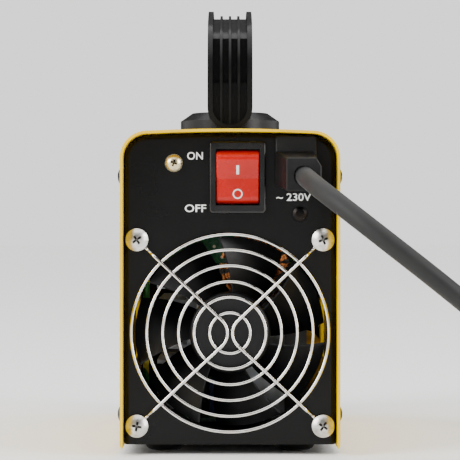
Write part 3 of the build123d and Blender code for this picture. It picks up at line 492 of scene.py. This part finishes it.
# Polyester powder coat on steel, sprayed and baked: a warm yellow with the slight ripple
# called orange peel.
# Real ripple is 0.8 mm across and is drawn at 1.4 mm so that it shows.
materials["cover_paint"] = grainedMaterial(
    {
        "name": "powderCoatYellow",
        "shade": "#EDC400",
        "otherShade": "#E6BA00",
        "cloud": 30,
        "grain": 1.4,
        "roughness": (0.3, 0.4),
        "relief": 0.25,
        "depth": 0.06,
        "sockets": {"IOR": 1.5, "Specular IOR Level": 0.08},
    }
)

# The same coat in black on the folded panels, satin: deep black with a soft bloom at grazing light.
materials["panel_paint"] = grainedMaterial(
    {
        "name": "powderCoatBlack",
        "shade": "#080808",
        "otherShade": "#0B0A0A",
        "cloud": 22,
        "grain": 1.3,
        "roughness": (0.26, 0.34),
        "relief": 0.3,
        "depth": 0.06,
        "speck": "#121211",
        "speckSpacing": 2.6,
        "sockets": {"IOR": 1.5, "Specular IOR Level": 0.2},
    }
)

# Screen-printed polyester film: flat charcoal with a fine velvet texture.
materials["overlay_print"] = grainedMaterial(
    {
        "name": "printedFilm",
        "shade": "#131416",
        "otherShade": "#17181A",
        "cloud": 40,
        "grain": 0.9,
        "roughness": (0.42, 0.52),
        "relief": 0.35,
        "depth": 0.05,
        "sockets": {"IOR": 1.58, "Specular IOR Level": 0.3},
    }
)

# Glass-filled nylon, injection moulded: charcoal with a dry spark-eroded grain, a little shine
# on the ribs.
materials["handle_plastic"] = grainedMaterial(
    {
        "name": "nylonMoulded",
        # painted shade: recesses narrower than this width are darkened towards the colour below
        "crevice": 6.0,
        "recessShade": "#030303",
        "shade": "#0A0A0A",
        "otherShade": "#0F0F0F",
        "cloud": 14,
        "grain": 0.8,
        "roughness": (0.3, 0.42),
        "relief": 0.5,
        "depth": 0.08,
        "sockets": {"IOR": 1.53, "Specular IOR Level": 0.2},
    }
)

# Bright zinc on the pressed tray, nuts and bearing: pale grey with faint blue clouds.
materials["zinc_steel"] = metalMaterial(
    {
        "name": "zincPlatedSteel",
        "shade": "#B9BDC2",
        "otherShade": "#A3A49F",
        "cloud": 9,
        "grain": 1.1,
        "roughness": (0.28, 0.42),
        "relief": 0.3,
        "depth": 0.04,
        "sockets": {"Metallic": 1.0},
    }
)

# Nitrile rubber, compression moulded feet: matt black with dust in its pores.
materials["foot_rubber"] = grainedMaterial(
    {
        "name": "nitrileRubber",
        "shade": "#0E0E0D",
        "otherShade": "#171615",
        "cloud": 6,
        "grain": 0.7,
        "roughness": (0.6, 0.78),
        "relief": 0.6,
        "depth": 0.1,
        "sockets": {"IOR": 1.52, "Specular IOR Level": 0.2, "Sheen Weight": 0.1},
    }
)

# Carbon steel screws in black oxide: nearly black with a brown cast where oil has dried.
materials["black_steel"] = metalMaterial(
    {
        "name": "blackOxideSteel",
        "shade": "#1C1C1D",
        "otherShade": "#272320",
        "cloud": 3,
        "grain": 0.8,
        "roughness": (0.3, 0.45),
        "relief": 0.3,
        "depth": 0.03,
        "sockets": {"Metallic": 1.0},
    }
)

# Glass-filled PBT, moulded fan frame: dull black with a slight flow mark.
materials["fan_plastic"] = grainedMaterial(
    {
        "name": "pbtMoulded",
        "shade": "#090A0B",
        "otherShade": "#0D0E0F",
        "cloud": 12,
        "grain": 0.9,
        "roughness": (0.42, 0.55),
        "relief": 0.45,
        "depth": 0.07,
        "sockets": {"IOR": 1.55, "Specular IOR Level": 0.2},
    }
)

# The rotor's PBT is smoother, so its blades and hub take a soft broad light.
materials["rotor_plastic"] = grainedMaterial(
    {
        "name": "pbtRotor",
        "shade": "#0B0B0C",
        "otherShade": "#101011",
        "cloud": 15,
        "grain": 1.0,
        "roughness": (0.28, 0.38),
        "relief": 0.3,
        "depth": 0.05,
        "sockets": {"IOR": 1.55, "Specular IOR Level": 0.25},
    }
)

# Bonded ferrite ring, pressed: brown-grey and flat, with pressing grain.
materials["magnet"] = grainedMaterial(
    {
        "name": "bondedFerrite",
        "shade": "#2A2624",
        "otherShade": "#37322F",
        "cloud": 4,
        "grain": 0.6,
        "roughness": (0.55, 0.7),
        "relief": 0.4,
        "depth": 0.06,
        "sockets": {"IOR": 1.6, "Specular IOR Level": 0.3},
    }
)

# Enamelled copper on the motor's poles: 0.3 mm wire drawn at 0.7 mm, red-brown and glossy.
materials["stator_copper"] = bandedMaterial(
    {
        "name": "motorWinding",
        "shade": "#B5602C",
        "otherShade": "#8D4520",
        "gap": "#3A1B0C",
        "band": 0.7,
        "direction": "Y",
        "cloud": 5,
        "roughness": (0.22, 0.34),
        "relief": 0.7,
        "depth": 0.15,
        "sockets": {"Metallic": 0.8},
    }
)

# Ground steel shafts: bright with fine turning lines round them.
materials["plain_steel"] = metalMaterial(
    {
        "name": "groundSteel",
        "shade": "#B4B4B2",
        "otherShade": "#A2A19D",
        "cloud": 5,
        "grain": 0.9,
        "stretch": (1, 8, 1),
        "roughness": (0.18, 0.3),
        "relief": 0.3,
        "depth": 0.03,
        "sockets": {"Metallic": 1.0},
    }
)

# Machined brass: warm yellow metal with tool lines and a browner bloom.
materials["brass"] = metalMaterial(
    {
        "name": "machinedBrass",
        "shade": "#D9B25A",
        "otherShade": "#B88A3C",
        "cloud": 6,
        "grain": 0.8,
        "stretch": (1, 6, 1),
        "roughness": (0.18, 0.32),
        "relief": 0.3,
        "depth": 0.03,
        "sockets": {"Metallic": 1.0},
    }
)

# Bright nickel-chrome on drawn wire: near mirror, with faint draw lines.
materials["guard_chrome"] = metalMaterial(
    {
        "name": "chromedWire",
        # painted shade: recesses narrower than this width are darkened towards the colour below
        "crevice": 1.0,
        "recessShade": "#4A453C",
        "shade": "#EDEBE7",
        "otherShade": "#DAD6CE",
        "cloud": 8,
        "grain": 1.2,
        "roughness": (0.03, 0.06),
        "relief": 0.25,
        "depth": 0.03,
        "sockets": {"Metallic": 1.0},
    }
)

# Zinc-nickel on cold-headed screws: bright, a touch softer than the wire.
materials["screw_chrome"] = metalMaterial(
    {
        "name": "brightScrew",
        # painted shade: recesses narrower than this width are darkened towards the colour below
        "crevice": 1.6,
        "recessShade": "#0B0A09",
        "shade": "#E3E1DC",
        "otherShade": "#B9B5AC",
        "cloud": 3,
        "grain": 0.7,
        "roughness": (0.26, 0.4),
        "relief": 0.3,
        "depth": 0.03,
        "sockets": {"Metallic": 1.0},
    }
)

# Nylon 66, moulded in a polished tool: black switch bezel with a crisp shine.
materials["switch_black"] = grainedMaterial(
    {
        "name": "nylonPolished",
        "shade": "#0C0B0B",
        "otherShade": "#110F0F",
        "cloud": 10,
        "grain": 1.1,
        "roughness": (0.2, 0.3),
        "relief": 0.2,
        "depth": 0.04,
        "sockets": {"IOR": 1.53, "Specular IOR Level": 0.4},
    }
)

# Polycarbonate, moulded and lightly translucent: a warm red that glows a little in its body.
materials["rocker_red"] = grainedMaterial(
    {
        "name": "polycarbonateRed",
        "shade": "#B2130A",
        "otherShade": "#A81008",
        "cloud": 12,
        "grain": 1.5,
        "roughness": (0.24, 0.32),
        "relief": 0.15,
        "depth": 0.04,
        "sockets": {
            "IOR": 1.58, "Subsurface Weight": 0.12, "Subsurface Scale": 0.002, "Specular IOR Level": 0.25
        },
    }
)

# Yellow chromate over zinc on the earth screw: brass-like with pink and green drift.
materials["yellow_zinc"] = metalMaterial(
    {
        "name": "chromatedZinc",
        # painted shade: recesses narrower than this width are darkened towards the colour below
        "crevice": 1.2,
        "recessShade": "#2A241A",
        "shade": "#E2D6B0",
        "otherShade": "#CDB98B",
        "cloud": 2.5,
        "grain": 0.8,
        "roughness": (0.2, 0.34),
        "relief": 0.3,
        "depth": 0.03,
        "sockets": {"Metallic": 1.0},
    }
)

# Moulded nylon gland: black, a finer grain than the handle's and a soft shine on its edges.
materials["gland_nylon"] = grainedMaterial(
    {
        "name": "nylonGland",
        "shade": "#0B0B0B",
        "otherShade": "#111111",
        "cloud": 9,
        "grain": 0.9,
        "roughness": (0.38, 0.5),
        "relief": 0.4,
        "depth": 0.07,
        "sockets": {"IOR": 1.53, "Specular IOR Level": 0.25},
    }
)

# Extruded rubber sheath: grey-black and matt, with talc left in its skin.
materials["cord_rubber"] = grainedMaterial(
    {
        "name": "rubberSheath",
        "shade": "#171717",
        "otherShade": "#1D1D1C",
        "cloud": 16,
        "grain": 0.9,
        "roughness": (0.48, 0.6),
        "relief": 0.4,
        "depth": 0.08,
        "sockets": {"IOR": 1.52, "Specular IOR Level": 0.25, "Sheen Weight": 0.08},
    }
)

# Woven nylon hook-and-loop strap: black, ribbed by its 0.9 mm weft, with a soft fuzz.
materials["tie_fabric"] = bandedMaterial(
    {
        "name": "wovenNylonStrap",
        "shade": "#2A2A2C",
        "otherShade": "#1D1D1F",
        "gap": "#0B0B0C",
        "band": 0.9,
        "direction": "DIAGONAL",
        "waver": 0.8,
        "cloud": 3,
        "roughness": (0.7, 0.85),
        "relief": 0.8,
        "depth": 0.2,
        "sockets": {"IOR": 1.53, "Specular IOR Level": 0.3, "Sheen Weight": 0.4, "Sheen Roughness": 0.6},
    }
)

# Moulded PVC plug: black, smooth and slightly waxy.
materials["plug_rubber"] = grainedMaterial(
    {
        "name": "pvcPlug",
        "shade": "#0E0F10",
        "otherShade": "#151617",
        "cloud": 11,
        "grain": 0.9,
        "roughness": (0.4, 0.52),
        "relief": 0.35,
        "depth": 0.07,
        "sockets": {"IOR": 1.54, "Specular IOR Level": 0.3},
    }
)

# Nickel-plated brass pins: warm silver, rubbed bright along their length.
materials["pin_nickel"] = metalMaterial(
    {
        "name": "nickelPlate",
        "shade": "#CFC8BB",
        "otherShade": "#B5AB99",
        "cloud": 5,
        "grain": 0.8,
        "roughness": (0.16, 0.3),
        "relief": 0.25,
        "depth": 0.03,
        "sockets": {"Metallic": 1.0},
    }
)

# ABS knob, moulded with a satin skin.
materials["knob_plastic"] = grainedMaterial(
    {
        "name": "absKnob",
        "shade": "#0D0D0D",
        "otherShade": "#131313",
        "cloud": 8,
        "grain": 0.8,
        "roughness": (0.36, 0.46),
        "relief": 0.35,
        "depth": 0.06,
        "sockets": {"IOR": 1.54, "Specular IOR Level": 0.35},
    }
)

# Smoked acrylic over the display: almost black, polished, with the odd wipe mark.
materials["display_glass"] = grainedMaterial(
    {
        "name": "acrylicSmoked",
        "shade": "#0B0506",
        "otherShade": "#120708",
        "cloud": 18,
        "grain": 5,
        "roughness": (0.06, 0.14),
        "relief": 0.05,
        "depth": 0.03,
        "sockets": {"IOR": 1.49, "Coat Weight": 0.3, "Coat Roughness": 0.05},
    }
)

# Cast epoxy lamps: milky water-clear resin, unlit.
materials["lamp_plastic"] = grainedMaterial(
    {
        "name": "epoxyLamp",
        "shade": "#B9C6AE",
        "otherShade": "#A7B79C",
        "cloud": 1.5,
        "grain": 0.8,
        "roughness": (0.12, 0.22),
        "relief": 0.1,
        "depth": 0.03,
        "sockets": {"IOR": 1.5, "Subsurface Weight": 0.2, "Subsurface Scale": 0.002},
    }
)

# Glass-epoxy board under green solder mask, with tinned pads.
materials["board_green"] = circuitBoard(
    {
        "name": "solderMask",
        "shade": "#0A2B19",
        "otherShade": "#0C321F",
        "line": "#174C33",
        "pad": "#B9B7A8",
        "track": 9,
        "padSpacing": 5,
        "roughness": (0.2, 0.35),
        "relief": 0.4,
        "depth": 0.08,
        "sockets": {"IOR": 1.55, "Coat Weight": 0.3},
    }
)

# Glass-filled polyamide socket bodies, turned knurl and moulded ring.
materials["socket_plastic"] = grainedMaterial(
    {
        "name": "polyamideSocket",
        "shade": "#0D0E0E",
        "otherShade": "#131414",
        "cloud": 7,
        "grain": 0.8,
        "roughness": (0.36, 0.5),
        "relief": 0.45,
        "depth": 0.08,
        "sockets": {"IOR": 1.53, "Specular IOR Level": 0.3},
    }
)

# Enamelled copper wire and bare bus bars: orange-red, darker where the lacquer is thick.
materials["copper"] = metalMaterial(
    {
        "name": "lacqueredCopper",
        "shade": "#D98A52",
        "otherShade": "#B0602F",
        "cloud": 7,
        "grain": 1.0,
        "roughness": (0.2, 0.34),
        "relief": 0.35,
        "depth": 0.05,
        "sockets": {"Metallic": 1.0},
    }
)

# Extruded aluminium heat sinks: white metal with die lines along their length.
materials["sink_aluminium"] = metalMaterial(
    {
        "name": "extrudedAluminium",
        "shade": "#C6C8CA",
        "otherShade": "#B1B3B5",
        "cloud": 12,
        "grain": 0.9,
        "stretch": (1, 0.06, 1),
        "roughness": (0.3, 0.42),
        "relief": 0.4,
        "depth": 0.04,
        "sockets": {"Metallic": 1.0},
    }
)

# Moulded epoxy on transistors and the rectifier: charcoal and dead matt.
materials["epoxy_black"] = grainedMaterial(
    {
        "name": "epoxyMoulded",
        "shade": "#1A1A1B",
        "otherShade": "#232324",
        "cloud": 5,
        "grain": 0.6,
        "roughness": (0.55, 0.68),
        "relief": 0.5,
        "depth": 0.06,
        "sockets": {"IOR": 1.55, "Specular IOR Level": 0.35},
    }
)

materials["capacitor_sleeve"] = capacitorSleeve(
    {
        "name": "petSleeve",
        "shade": "#14161C",
        "stripe": "#A9ABB0",
        "stripeFrom": 34.5,
        "can": "#8E9093",
        "top": 53.0,
        "grain": 6,
        "roughness": (0.2, 0.32),
        "relief": 0.2,
        "depth": 0.1,
        "sockets": {"IOR": 1.57, "Coat Weight": 0.3, "Coat Roughness": 0.1},
    }
)

# Sintered ferrite cores: blue-grey ceramic, ground flat.
materials["ferrite"] = grainedMaterial(
    {
        "name": "sinteredFerrite",
        "shade": "#3A3B3E",
        "otherShade": "#47484B",
        "cloud": 8,
        "grain": 0.7,
        "roughness": (0.4, 0.55),
        "relief": 0.3,
        "depth": 0.04,
        "speck": "#5A5B5E",
        "speckSpacing": 1.5,
        "sockets": {"IOR": 1.9, "Specular IOR Level": 0.4},
    }
)

# Polyester tape over the transformer's coil: amber, with the edge of each lap showing.
materials["winding_tape"] = bandedMaterial(
    {
        "name": "polyesterTape",
        "shade": "#D9A520",
        "otherShade": "#C08E16",
        "gap": "#7E5A0C",
        "band": 6,
        "direction": "Z",
        "waver": 0.6,
        "cloud": 9,
        "roughness": (0.24, 0.36),
        "relief": 0.4,
        "depth": 0.15,
        "sockets": {"IOR": 1.57, "Coat Weight": 0.2},
    }
)

# PBT relay case: flat blue, moulded.
materials["relay_blue"] = grainedMaterial(
    {
        "name": "pbtRelay",
        "shade": "#1D4E9C",
        "otherShade": "#19458C",
        "cloud": 9,
        "grain": 0.9,
        "roughness": (0.35, 0.45),
        "relief": 0.25,
        "depth": 0.05,
        "sockets": {"IOR": 1.55},
    }
)

# PVC insulation, extruded: brown mains wires with a waxy shine.
materials["wire_brown"] = grainedMaterial(
    {
        "name": "pvcBrown",
        "shade": "#5A331C",
        "otherShade": "#663B21",
        "cloud": 6,
        "grain": 0.8,
        "roughness": (0.3, 0.42),
        "relief": 0.2,
        "depth": 0.04,
        "sockets": {"IOR": 1.54},
    }
)

materials["wire_green"] = earthInsulation(
    {
        "name": "pvcEarth",
        "shade": "#2E8B2F",
        "otherShade": "#E6D227",
        "band": 5,
        "grain": 0.8,
        "roughness": (0.3, 0.42),
        "relief": 0.2,
        "depth": 0.04,
        "sockets": {"IOR": 1.54},
    }
)

# Pad-printing ink: opaque white with a dry edge.
whiteInk = grainedMaterial(
    {
        "name": "padInkWhite",
        "shade": "#EDEDEA",
        "otherShade": "#DFDFDB",
        "cloud": 2,
        "grain": 0.8,
        "roughness": (0.5, 0.62),
        "relief": 0.3,
        "depth": 0.02,
        "sockets": {"IOR": 1.5},
    }
)

# The same ink in yellow for the film's border.
yellowInk = grainedMaterial(
    {
        "name": "screenInkYellow",
        "shade": "#EDB80E",
        "otherShade": "#E0AC0A",
        "cloud": 6,
        "grain": 0.8,
        "roughness": (0.45, 0.55),
        "relief": 0.2,
        "depth": 0.02,
        "sockets": {"IOR": 1.5},
    }
)

# Unlit display segments: dull pink-grey bars behind the smoked pane.
segmentGrey = grainedMaterial(
    {
        "name": "segmentUnlit",
        "shade": "#3A2A2B",
        "otherShade": "#453234",
        "cloud": 3,
        "grain": 0.8,
        "roughness": (0.2, 0.3),
        "relief": 0.1,
        "depth": 0.02,
        "sockets": {"IOR": 1.49},
    }
)
print("materials made:", len(materials) + 3)

slots = {entry["node"]: entry["material_slot"] for entry in frame["record"]["subparts"]}
for name, node in nodes.items():
    node.data.materials.clear()
    node.data.materials.append(materials[slots[name]])
mainsCord.data.materials.append(materials["cord_rubber"])
print("materials on", len(nodes), "nodes")

# ---- printing and marks

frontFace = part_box("control_overlay")[1].y  # the film's outer face
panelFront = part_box("front_panel")[1].y


def solidPiece(name, loops, depth, matrix, body, material):
    # a flat print: each pair of outer and inner outlines, or an outline alone, made a thin solid
    mesh = bpy.data.meshes.new(name)
    work = bmesh.new()
    for outer, inner in loops:
        top = [work.verts.new((x, y, depth)) for x, y in outer]
        base = [work.verts.new((x, y, 0)) for x, y in outer]
        count = len(outer)
        if inner:
            topIn = [work.verts.new((x, y, depth)) for x, y in inner]
            baseIn = [work.verts.new((x, y, 0)) for x, y in inner]
        for i in range(count):
            j = (i + 1) % count
            work.faces.new((base[i], base[j], top[j], top[i]))
            if inner:
                work.faces.new((baseIn[j], baseIn[i], topIn[i], topIn[j]))
                work.faces.new((top[i], top[j], topIn[j], topIn[i]))
                work.faces.new((base[j], base[i], baseIn[i], baseIn[j]))
        if not inner:
            work.faces.new(top)
            work.faces.new(base[::-1])
    work.transform(matrix)
    work.to_mesh(mesh)
    work.free()
    mesh.materials.append(material)
    return newObject(name, mesh, body)


lettering = {"thickness": 0.5, "bolder": 0.012, "smoothness": 3, "merge": 0.002}


def printedText(name, words, place, width, height, matrix, depth, body, material):
    # Blender's own letters as a thin solid, fitted to a width and height in millimetres about its middle
    letters = bpy.data.curves.new(name, "FONT")
    letters.body = words
    letters.extrude = lettering["thickness"]
    letters.offset = lettering["bolder"]
    letters.resolution_u = lettering["smoothness"]
    source = bpy.data.objects.new(name, letters)
    bpy.context.scene.collection.objects.link(source)
    bpy.context.view_layer.update()
    mesh = bpy.data.meshes.new_from_object(source.evaluated_get(bpy.context.evaluated_depsgraph_get()))
    bpy.data.objects.remove(source)
    bpy.data.curves.remove(letters)
    low = [min(v.co[i] for v in mesh.vertices) for i in range(3)]
    high = [max(v.co[i] for v in mesh.vertices) for i in range(3)]
    for vertex in mesh.vertices:
        x = (vertex.co.x - (low[0] + high[0]) / 2) / (high[0] - low[0]) * width + place[0]
        y = (vertex.co.y - (low[1] + high[1]) / 2) / (high[1] - low[1]) * height + place[1]
        z = (vertex.co.z - low[2]) * depth
        vertex.co = (x, y, z)
    mesh.transform(matrix)
    mesh.name = name
    mesh.materials.clear()
    mesh.materials.append(material)
    work = bmesh.new()
    work.from_mesh(mesh)
    bmesh.ops.remove_doubles(work, verts=work.verts, dist=lettering["merge"] * mm)
    work.to_mesh(mesh)
    work.free()
    return newObject(name, mesh, body)


def facingRear(y):
    # flat work in millimetres, seen from behind, onto a face at this Y
    return Matrix.Translation((0, y, 0)) @ Matrix.Rotation(math.pi / 2, 4, "X") @ Matrix.Scale(mm, 4)


def facingFront(y):
    # the same seen from the front, where the viewer's right is -X
    turned = Matrix.Translation((0, y, 0)) @ Matrix.Rotation(math.pi, 4, "Z")
    return turned @ Matrix.Rotation(math.pi / 2, 4, "X") @ Matrix.Scale(mm, 4)


def barOutline(x, y, width, height, turn=0.0):
    corners = [
        (-width / 2, -height / 2),
        (width / 2, -height / 2),
        (width / 2, height / 2),
        (-width / 2, height / 2),
    ]
    cosine, sine = math.cos(turn), math.sin(turn)
    return [(x + a * cosine - b * sine, y + a * sine + b * cosine) for a, b in corners]


def circleOutline(x, y, radius, count=40):
    angles = [2 * math.pi * i / count for i in range(count)]
    return [(x + radius * math.cos(angle), y + radius * math.sin(angle)) for angle in angles]


def roundedOutline(x, y, width, height, radius, steps=6):
    points = []
    for corner, (cx, cy) in enumerate(((1, 1), (-1, 1), (-1, -1), (1, -1))):
        for step in range(steps + 1):
            angle = math.pi / 2 * (corner + step / steps)
            points.append(
                (
                    x + cx * (width / 2 - radius) + radius * math.cos(angle),
                    y + cy * (height / 2 - radius) + radius * math.sin(angle),
                )
            )
    return points


ink = {"depth": 0.05, "sink": 0.01}  # millimetres of ink on the surface, and how far it bites in

rearPrint = {
    # words, middle x and z, width and height of the capitals
    "printOn": ("ON", -15.5, 132.5, 7.0, 3.4),
    "printOff": ("OFF", -15.3, 109.2, 9.5, 3.4),
    "printMains": ("~ 230V", 28.3, 114.2, 15.4, 3.4),
}


def makeRearPrint(size):
    matrix = facingRear(rearFace + ink["sink"] * mm)
    for name, (words, x, z, width, height) in size.items():
        printedText(
            name, words, (x, z), width, height, matrix, ink["depth"], "case", whiteInk
        )


rocker = {
    "middleX": 3.4,
    "hingeZ": 122.275,  # where the two faces of the rocker meet, at rest
    "hingeOut": 1.545,  # how far that line stands out from the panel
    "lean": math.radians(20),  # the upper face's lean at rest
    "barAlong": 4.2,
    "bar": (1.2, 4.2),
    "ringDrop": 6.7,
    "ring": (2.2, 1.65),
    "thicker": 0.03,  # how much more ink the rocker's marks have
}


def makeRockerMarks(size):
    standOff = Vector((0, rearFace - size["hingeOut"] * mm, 0))
    hinge = Vector((size["middleX"], 0, size["hingeZ"])) * mm + standOff
    seen = Matrix.Rotation(math.pi / 2, 4, "X") @ Matrix.Scale(mm, 4)
    leaning = Matrix.Translation(hinge) @ Matrix.Rotation(size["lean"], 4, "X") @ seen
    level = Matrix.Translation(hinge) @ seen
    bar = [(barOutline(0, size["barAlong"], *size["bar"]), None)]
    solidPiece("rockerBar", bar, ink["depth"] + size["thicker"], leaning, "rocker", whiteInk)
    outer, inner = size["ring"]
    ring = [(circleOutline(0, -size["ringDrop"], outer), circleOutline(0, -size["ringDrop"], inner))]
    solidPiece("rockerRing", ring, ink["depth"] + size["thicker"], level, "rocker", whiteInk)


dial = {
    "middleZ": 90.0,
    "reach": math.radians(135),
    "numbers": ("20", "50", "80", "110", "140", "170", "200"),
    "tickInner": 15.6,
    "tickOuter": 17.6,
    "numberRadius": 21.0,
    "numberHeight": 2.4,
    "digitWidth": 1.55,
    "ticksBetween": 5,
    "mainWidth": 0.5,
    "smallWidth": 0.3,
    "smallShorter": 0.8,
}


def makeDial(size):
    matrix = facingFront(frontFace - ink["sink"] * mm)
    gaps = len(size["numbers"]) - 1
    ticks = gaps * size["ticksBetween"]
    loops = []
    for number in range(ticks + 1):
        # clockwise from the lower left
        angle = math.pi / 2 + size["reach"] - 2 * size["reach"] * number / ticks
        main = number % size["ticksBetween"] == 0
        outer = size["tickOuter"] if main else size["tickOuter"] - size["smallShorter"]
        middle = (size["tickInner"] + outer) / 2
        x, z = middle * math.cos(angle), size["middleZ"] + middle * math.sin(angle)
        width = size["mainWidth"] if main else size["smallWidth"]
        loops.append((barOutline(x, z, outer - size["tickInner"], width, angle), None))
    solidPiece("dialTicks", loops, ink["depth"], matrix, "case", whiteInk)
    for number, words in enumerate(size["numbers"]):
        angle = math.pi / 2 + size["reach"] - 2 * size["reach"] * number / gaps
        reach = size["numberRadius"]
        place = (reach * math.cos(angle), size["middleZ"] + reach * math.sin(angle))
        width = size["digitWidth"] * len(words)
        printedText(
            "dialNumber" + words,
            words,
            place,
            width,
            size["numberHeight"],
            matrix,
            ink["depth"],
            "case",
            whiteInk,
        )


display = {
    "middleZ": 119.0,
    "digits": 3,
    "pitch": 9.4,
    "width": 5.6,
    "height": 10.0,
    "bar": 0.95,
    "slant": 0.1,
    "cornerGap": 1.5,  # bar widths that each bar is shorter than its side
}


def makeDisplay(size):
    # three digits of seven bars each, unlit
    matrix = facingFront(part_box("display_window")[1].y - ink["sink"] * mm)
    half, tall, bar = size["width"] / 2, size["height"] / 2, size["bar"]
    bars = []
    for number in range(size["digits"]):
        middle = (number - (size["digits"] - 1) / 2) * size["pitch"]
        for level in (-tall, 0, tall):
            bars.append((middle, size["middleZ"] + level, size["width"] - bar * size["cornerGap"], bar))
        for side in (-half, half):
            for level in (-tall / 2, tall / 2):
                bars.append((middle + side, size["middleZ"] + level, bar, tall - bar * size["cornerGap"]))
    loops = []
    for x, z, width, height in bars:
        corners = barOutline(x, z, width, height)
        loops.append(([(a + (b - size["middleZ"]) * size["slant"], b) for a, b in corners], None))
    solidPiece("displaySegments", loops, ink["depth"] / 2, matrix, "case", segmentGrey)


filmBorder = {"middleZ": 104.0, "width": 74.0, "height": 62.0, "corner": 2.6, "line": 0.7}


def makeFilmBorder(size):
    matrix = facingFront(frontFace - ink["sink"] * mm)
    line = size["line"]
    outer = roundedOutline(0, size["middleZ"], size["width"], size["height"], size["corner"])
    inner = roundedOutline(
        0, size["middleZ"], size["width"] - 2 * line, size["height"] - 2 * line, size["corner"] - line
    )
    solidPiece("filmBorder", [(outer, inner)], ink["depth"], matrix, "case", yellowInk)


socketSigns = {"x": 22.5, "z": 12.5, "long": 5.0, "thick": 1.1}


def makeSocketSigns(size):
    matrix = facingFront(panelFront - ink["sink"] * mm)
    long, thick = size["long"], size["thick"]
    arm = (long - thick) / 2
    x, z = -size["x"], size["z"]
    plus = [
        (barOutline(x, z, long, thick), None),
        (barOutline(x, z + thick / 2 + arm / 2, thick, arm), None),
        (barOutline(x, z - thick / 2 - arm / 2, thick, arm), None),
    ]
    solidPiece("signPlus", plus, ink["depth"], matrix, "case", whiteInk)
    minus = [(barOutline(size["x"], z, long, thick), None)]
    solidPiece("signMinus", minus, ink["depth"], matrix, "case", whiteInk)


pointer = {"from": 2.0, "to": 10.5, "width": 1.1, "deep": 0.6, "clear": 0.1}


def makePointer(size):
    # the white line pressed into the knob's slot
    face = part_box("current_knob")[1].y
    matrix = facingFront(face - size["deep"] * mm)
    long = size["to"] - size["from"]
    middle = (size["from"] + size["to"]) / 2 + dial["middleZ"]
    bar = [(barOutline(0, middle, size["width"], long - size["clear"]), None)]
    solidPiece("knobPointer", bar, size["deep"] - size["clear"], matrix, "knob", whiteInk)


makeRearPrint(rearPrint)
makeRockerMarks(rocker)
makeDial(dial)
makeDisplay(display)
makeFilmBorder(filmBorder)
makeSocketSigns(socketSigns)
makePointer(pointer)
print("printing done")

# ---- floor and lights

stage = {
    "floorRadius": 14.0,
    "floorSides": 96,
    "floorShade": "#F6F6F5",
    "sky": 1.43,
    "dimSky": 0.12,
    "wallSky": 2.4,
    "wallFrom": (0.6, 0.9),  # how far sideways the bright walls start and are full
}


def makeStage(size):
    mesh = bpy.data.meshes.new("floor")
    work = bmesh.new()
    bmesh.ops.create_circle(work, cap_ends=True, segments=size["floorSides"], radius=size["floorRadius"])
    work.to_mesh(mesh)
    work.free()
    # a studio floor of painted board: pale and flat, with the faintest mottle
    mesh.materials.append(
        grainedMaterial(
            {
                "name": "floorPaint",
                "shade": size["floorShade"],
                "otherShade": size["floorShade"],
                "cloud": 400,
                "grain": 3,
                "roughness": (0.7, 0.8),
                "relief": 0.02,
                "depth": 0.02,
                "sockets": {"IOR": 1.5, "Specular IOR Level": 0.2},
            }
        )
    )
    floor = bpy.data.objects.new("floor", mesh)
    bpy.context.scene.collection.objects.link(floor)
    # a dim studio with bright walls to the left and right, so gloss shows light edges round a
    # dark middle; what the camera sees directly is never darker than the plain sky
    world = bpy.data.worlds.new("studio")
    world.use_nodes = True
    tree = world.node_tree
    background = tree.nodes["Background"]
    background.inputs["Color"].default_value = hexColor("#FFFFFF")
    toward = addNode(
        tree,
        "ShaderNodeSeparateXYZ",
        {"Vector": addNode(tree, "ShaderNodeTexCoord").outputs["Generated"]},
    )
    aside = addNode(tree, "ShaderNodeMath", {0: toward.outputs["X"]}, operation="ABSOLUTE")
    low, high = size["wallFrom"]
    walls = addNode(
        tree,
        "ShaderNodeMapRange",
        {
            "Value": aside.outputs["Value"],
            "From Min": low,
            "From Max": high,
            "To Min": size["dimSky"],
            "To Max": size["wallSky"],
        },
        interpolation_type="SMOOTHSTEP",
    )
    seen = addNode(tree, "ShaderNodeLightPath").outputs["Is Camera Ray"]
    plain = addNode(tree, "ShaderNodeMath", {0: seen, 1: size["sky"]}, operation="MULTIPLY")
    level = addNode(
        tree,
        "ShaderNodeMath",
        {0: walls.outputs["Result"], 1: plain.outputs["Value"]},
        operation="MAXIMUM",
    )
    tree.links.new(level.outputs["Value"], background.inputs["Strength"])
    bpy.context.scene.world = world


lamps = {
    # place, aim, width, height and power of each soft box
    "keyLight": ((-1.9, -1.5, 1.3), (0, -0.1, 0.1), 1.3, 1.8, 70),
    "fillLight": ((2.0, -1.3, 0.9), (0, -0.1, 0.1), 1.1, 1.6, 45),
}

# a wide ceiling of light, even over the whole floor
overhead = {"strength": 3.6, "spread": math.radians(85)}


def makeLamps(size):
    for name, (place, target, width, height, power) in size.items():
        data = bpy.data.lights.new(name, "AREA")
        data.shape = "RECTANGLE"
        data.size = width
        data.size_y = height
        data.energy = power
        lamp = bpy.data.objects.new(name, data)
        lamp.location = place
        lamp.rotation_euler = (Vector(target) - Vector(place)).to_track_quat("-Z", "Y").to_euler()
        bpy.context.scene.collection.objects.link(lamp)


def makeOverhead(size):
    data = bpy.data.lights.new("overhead", "SUN")
    data.energy = size["strength"]
    data.angle = size["spread"]
    bpy.context.scene.collection.objects.link(bpy.data.objects.new("overhead", data))


makeStage(stage)
makeLamps(lamps)
makeOverhead(overhead)
print("stage lit")
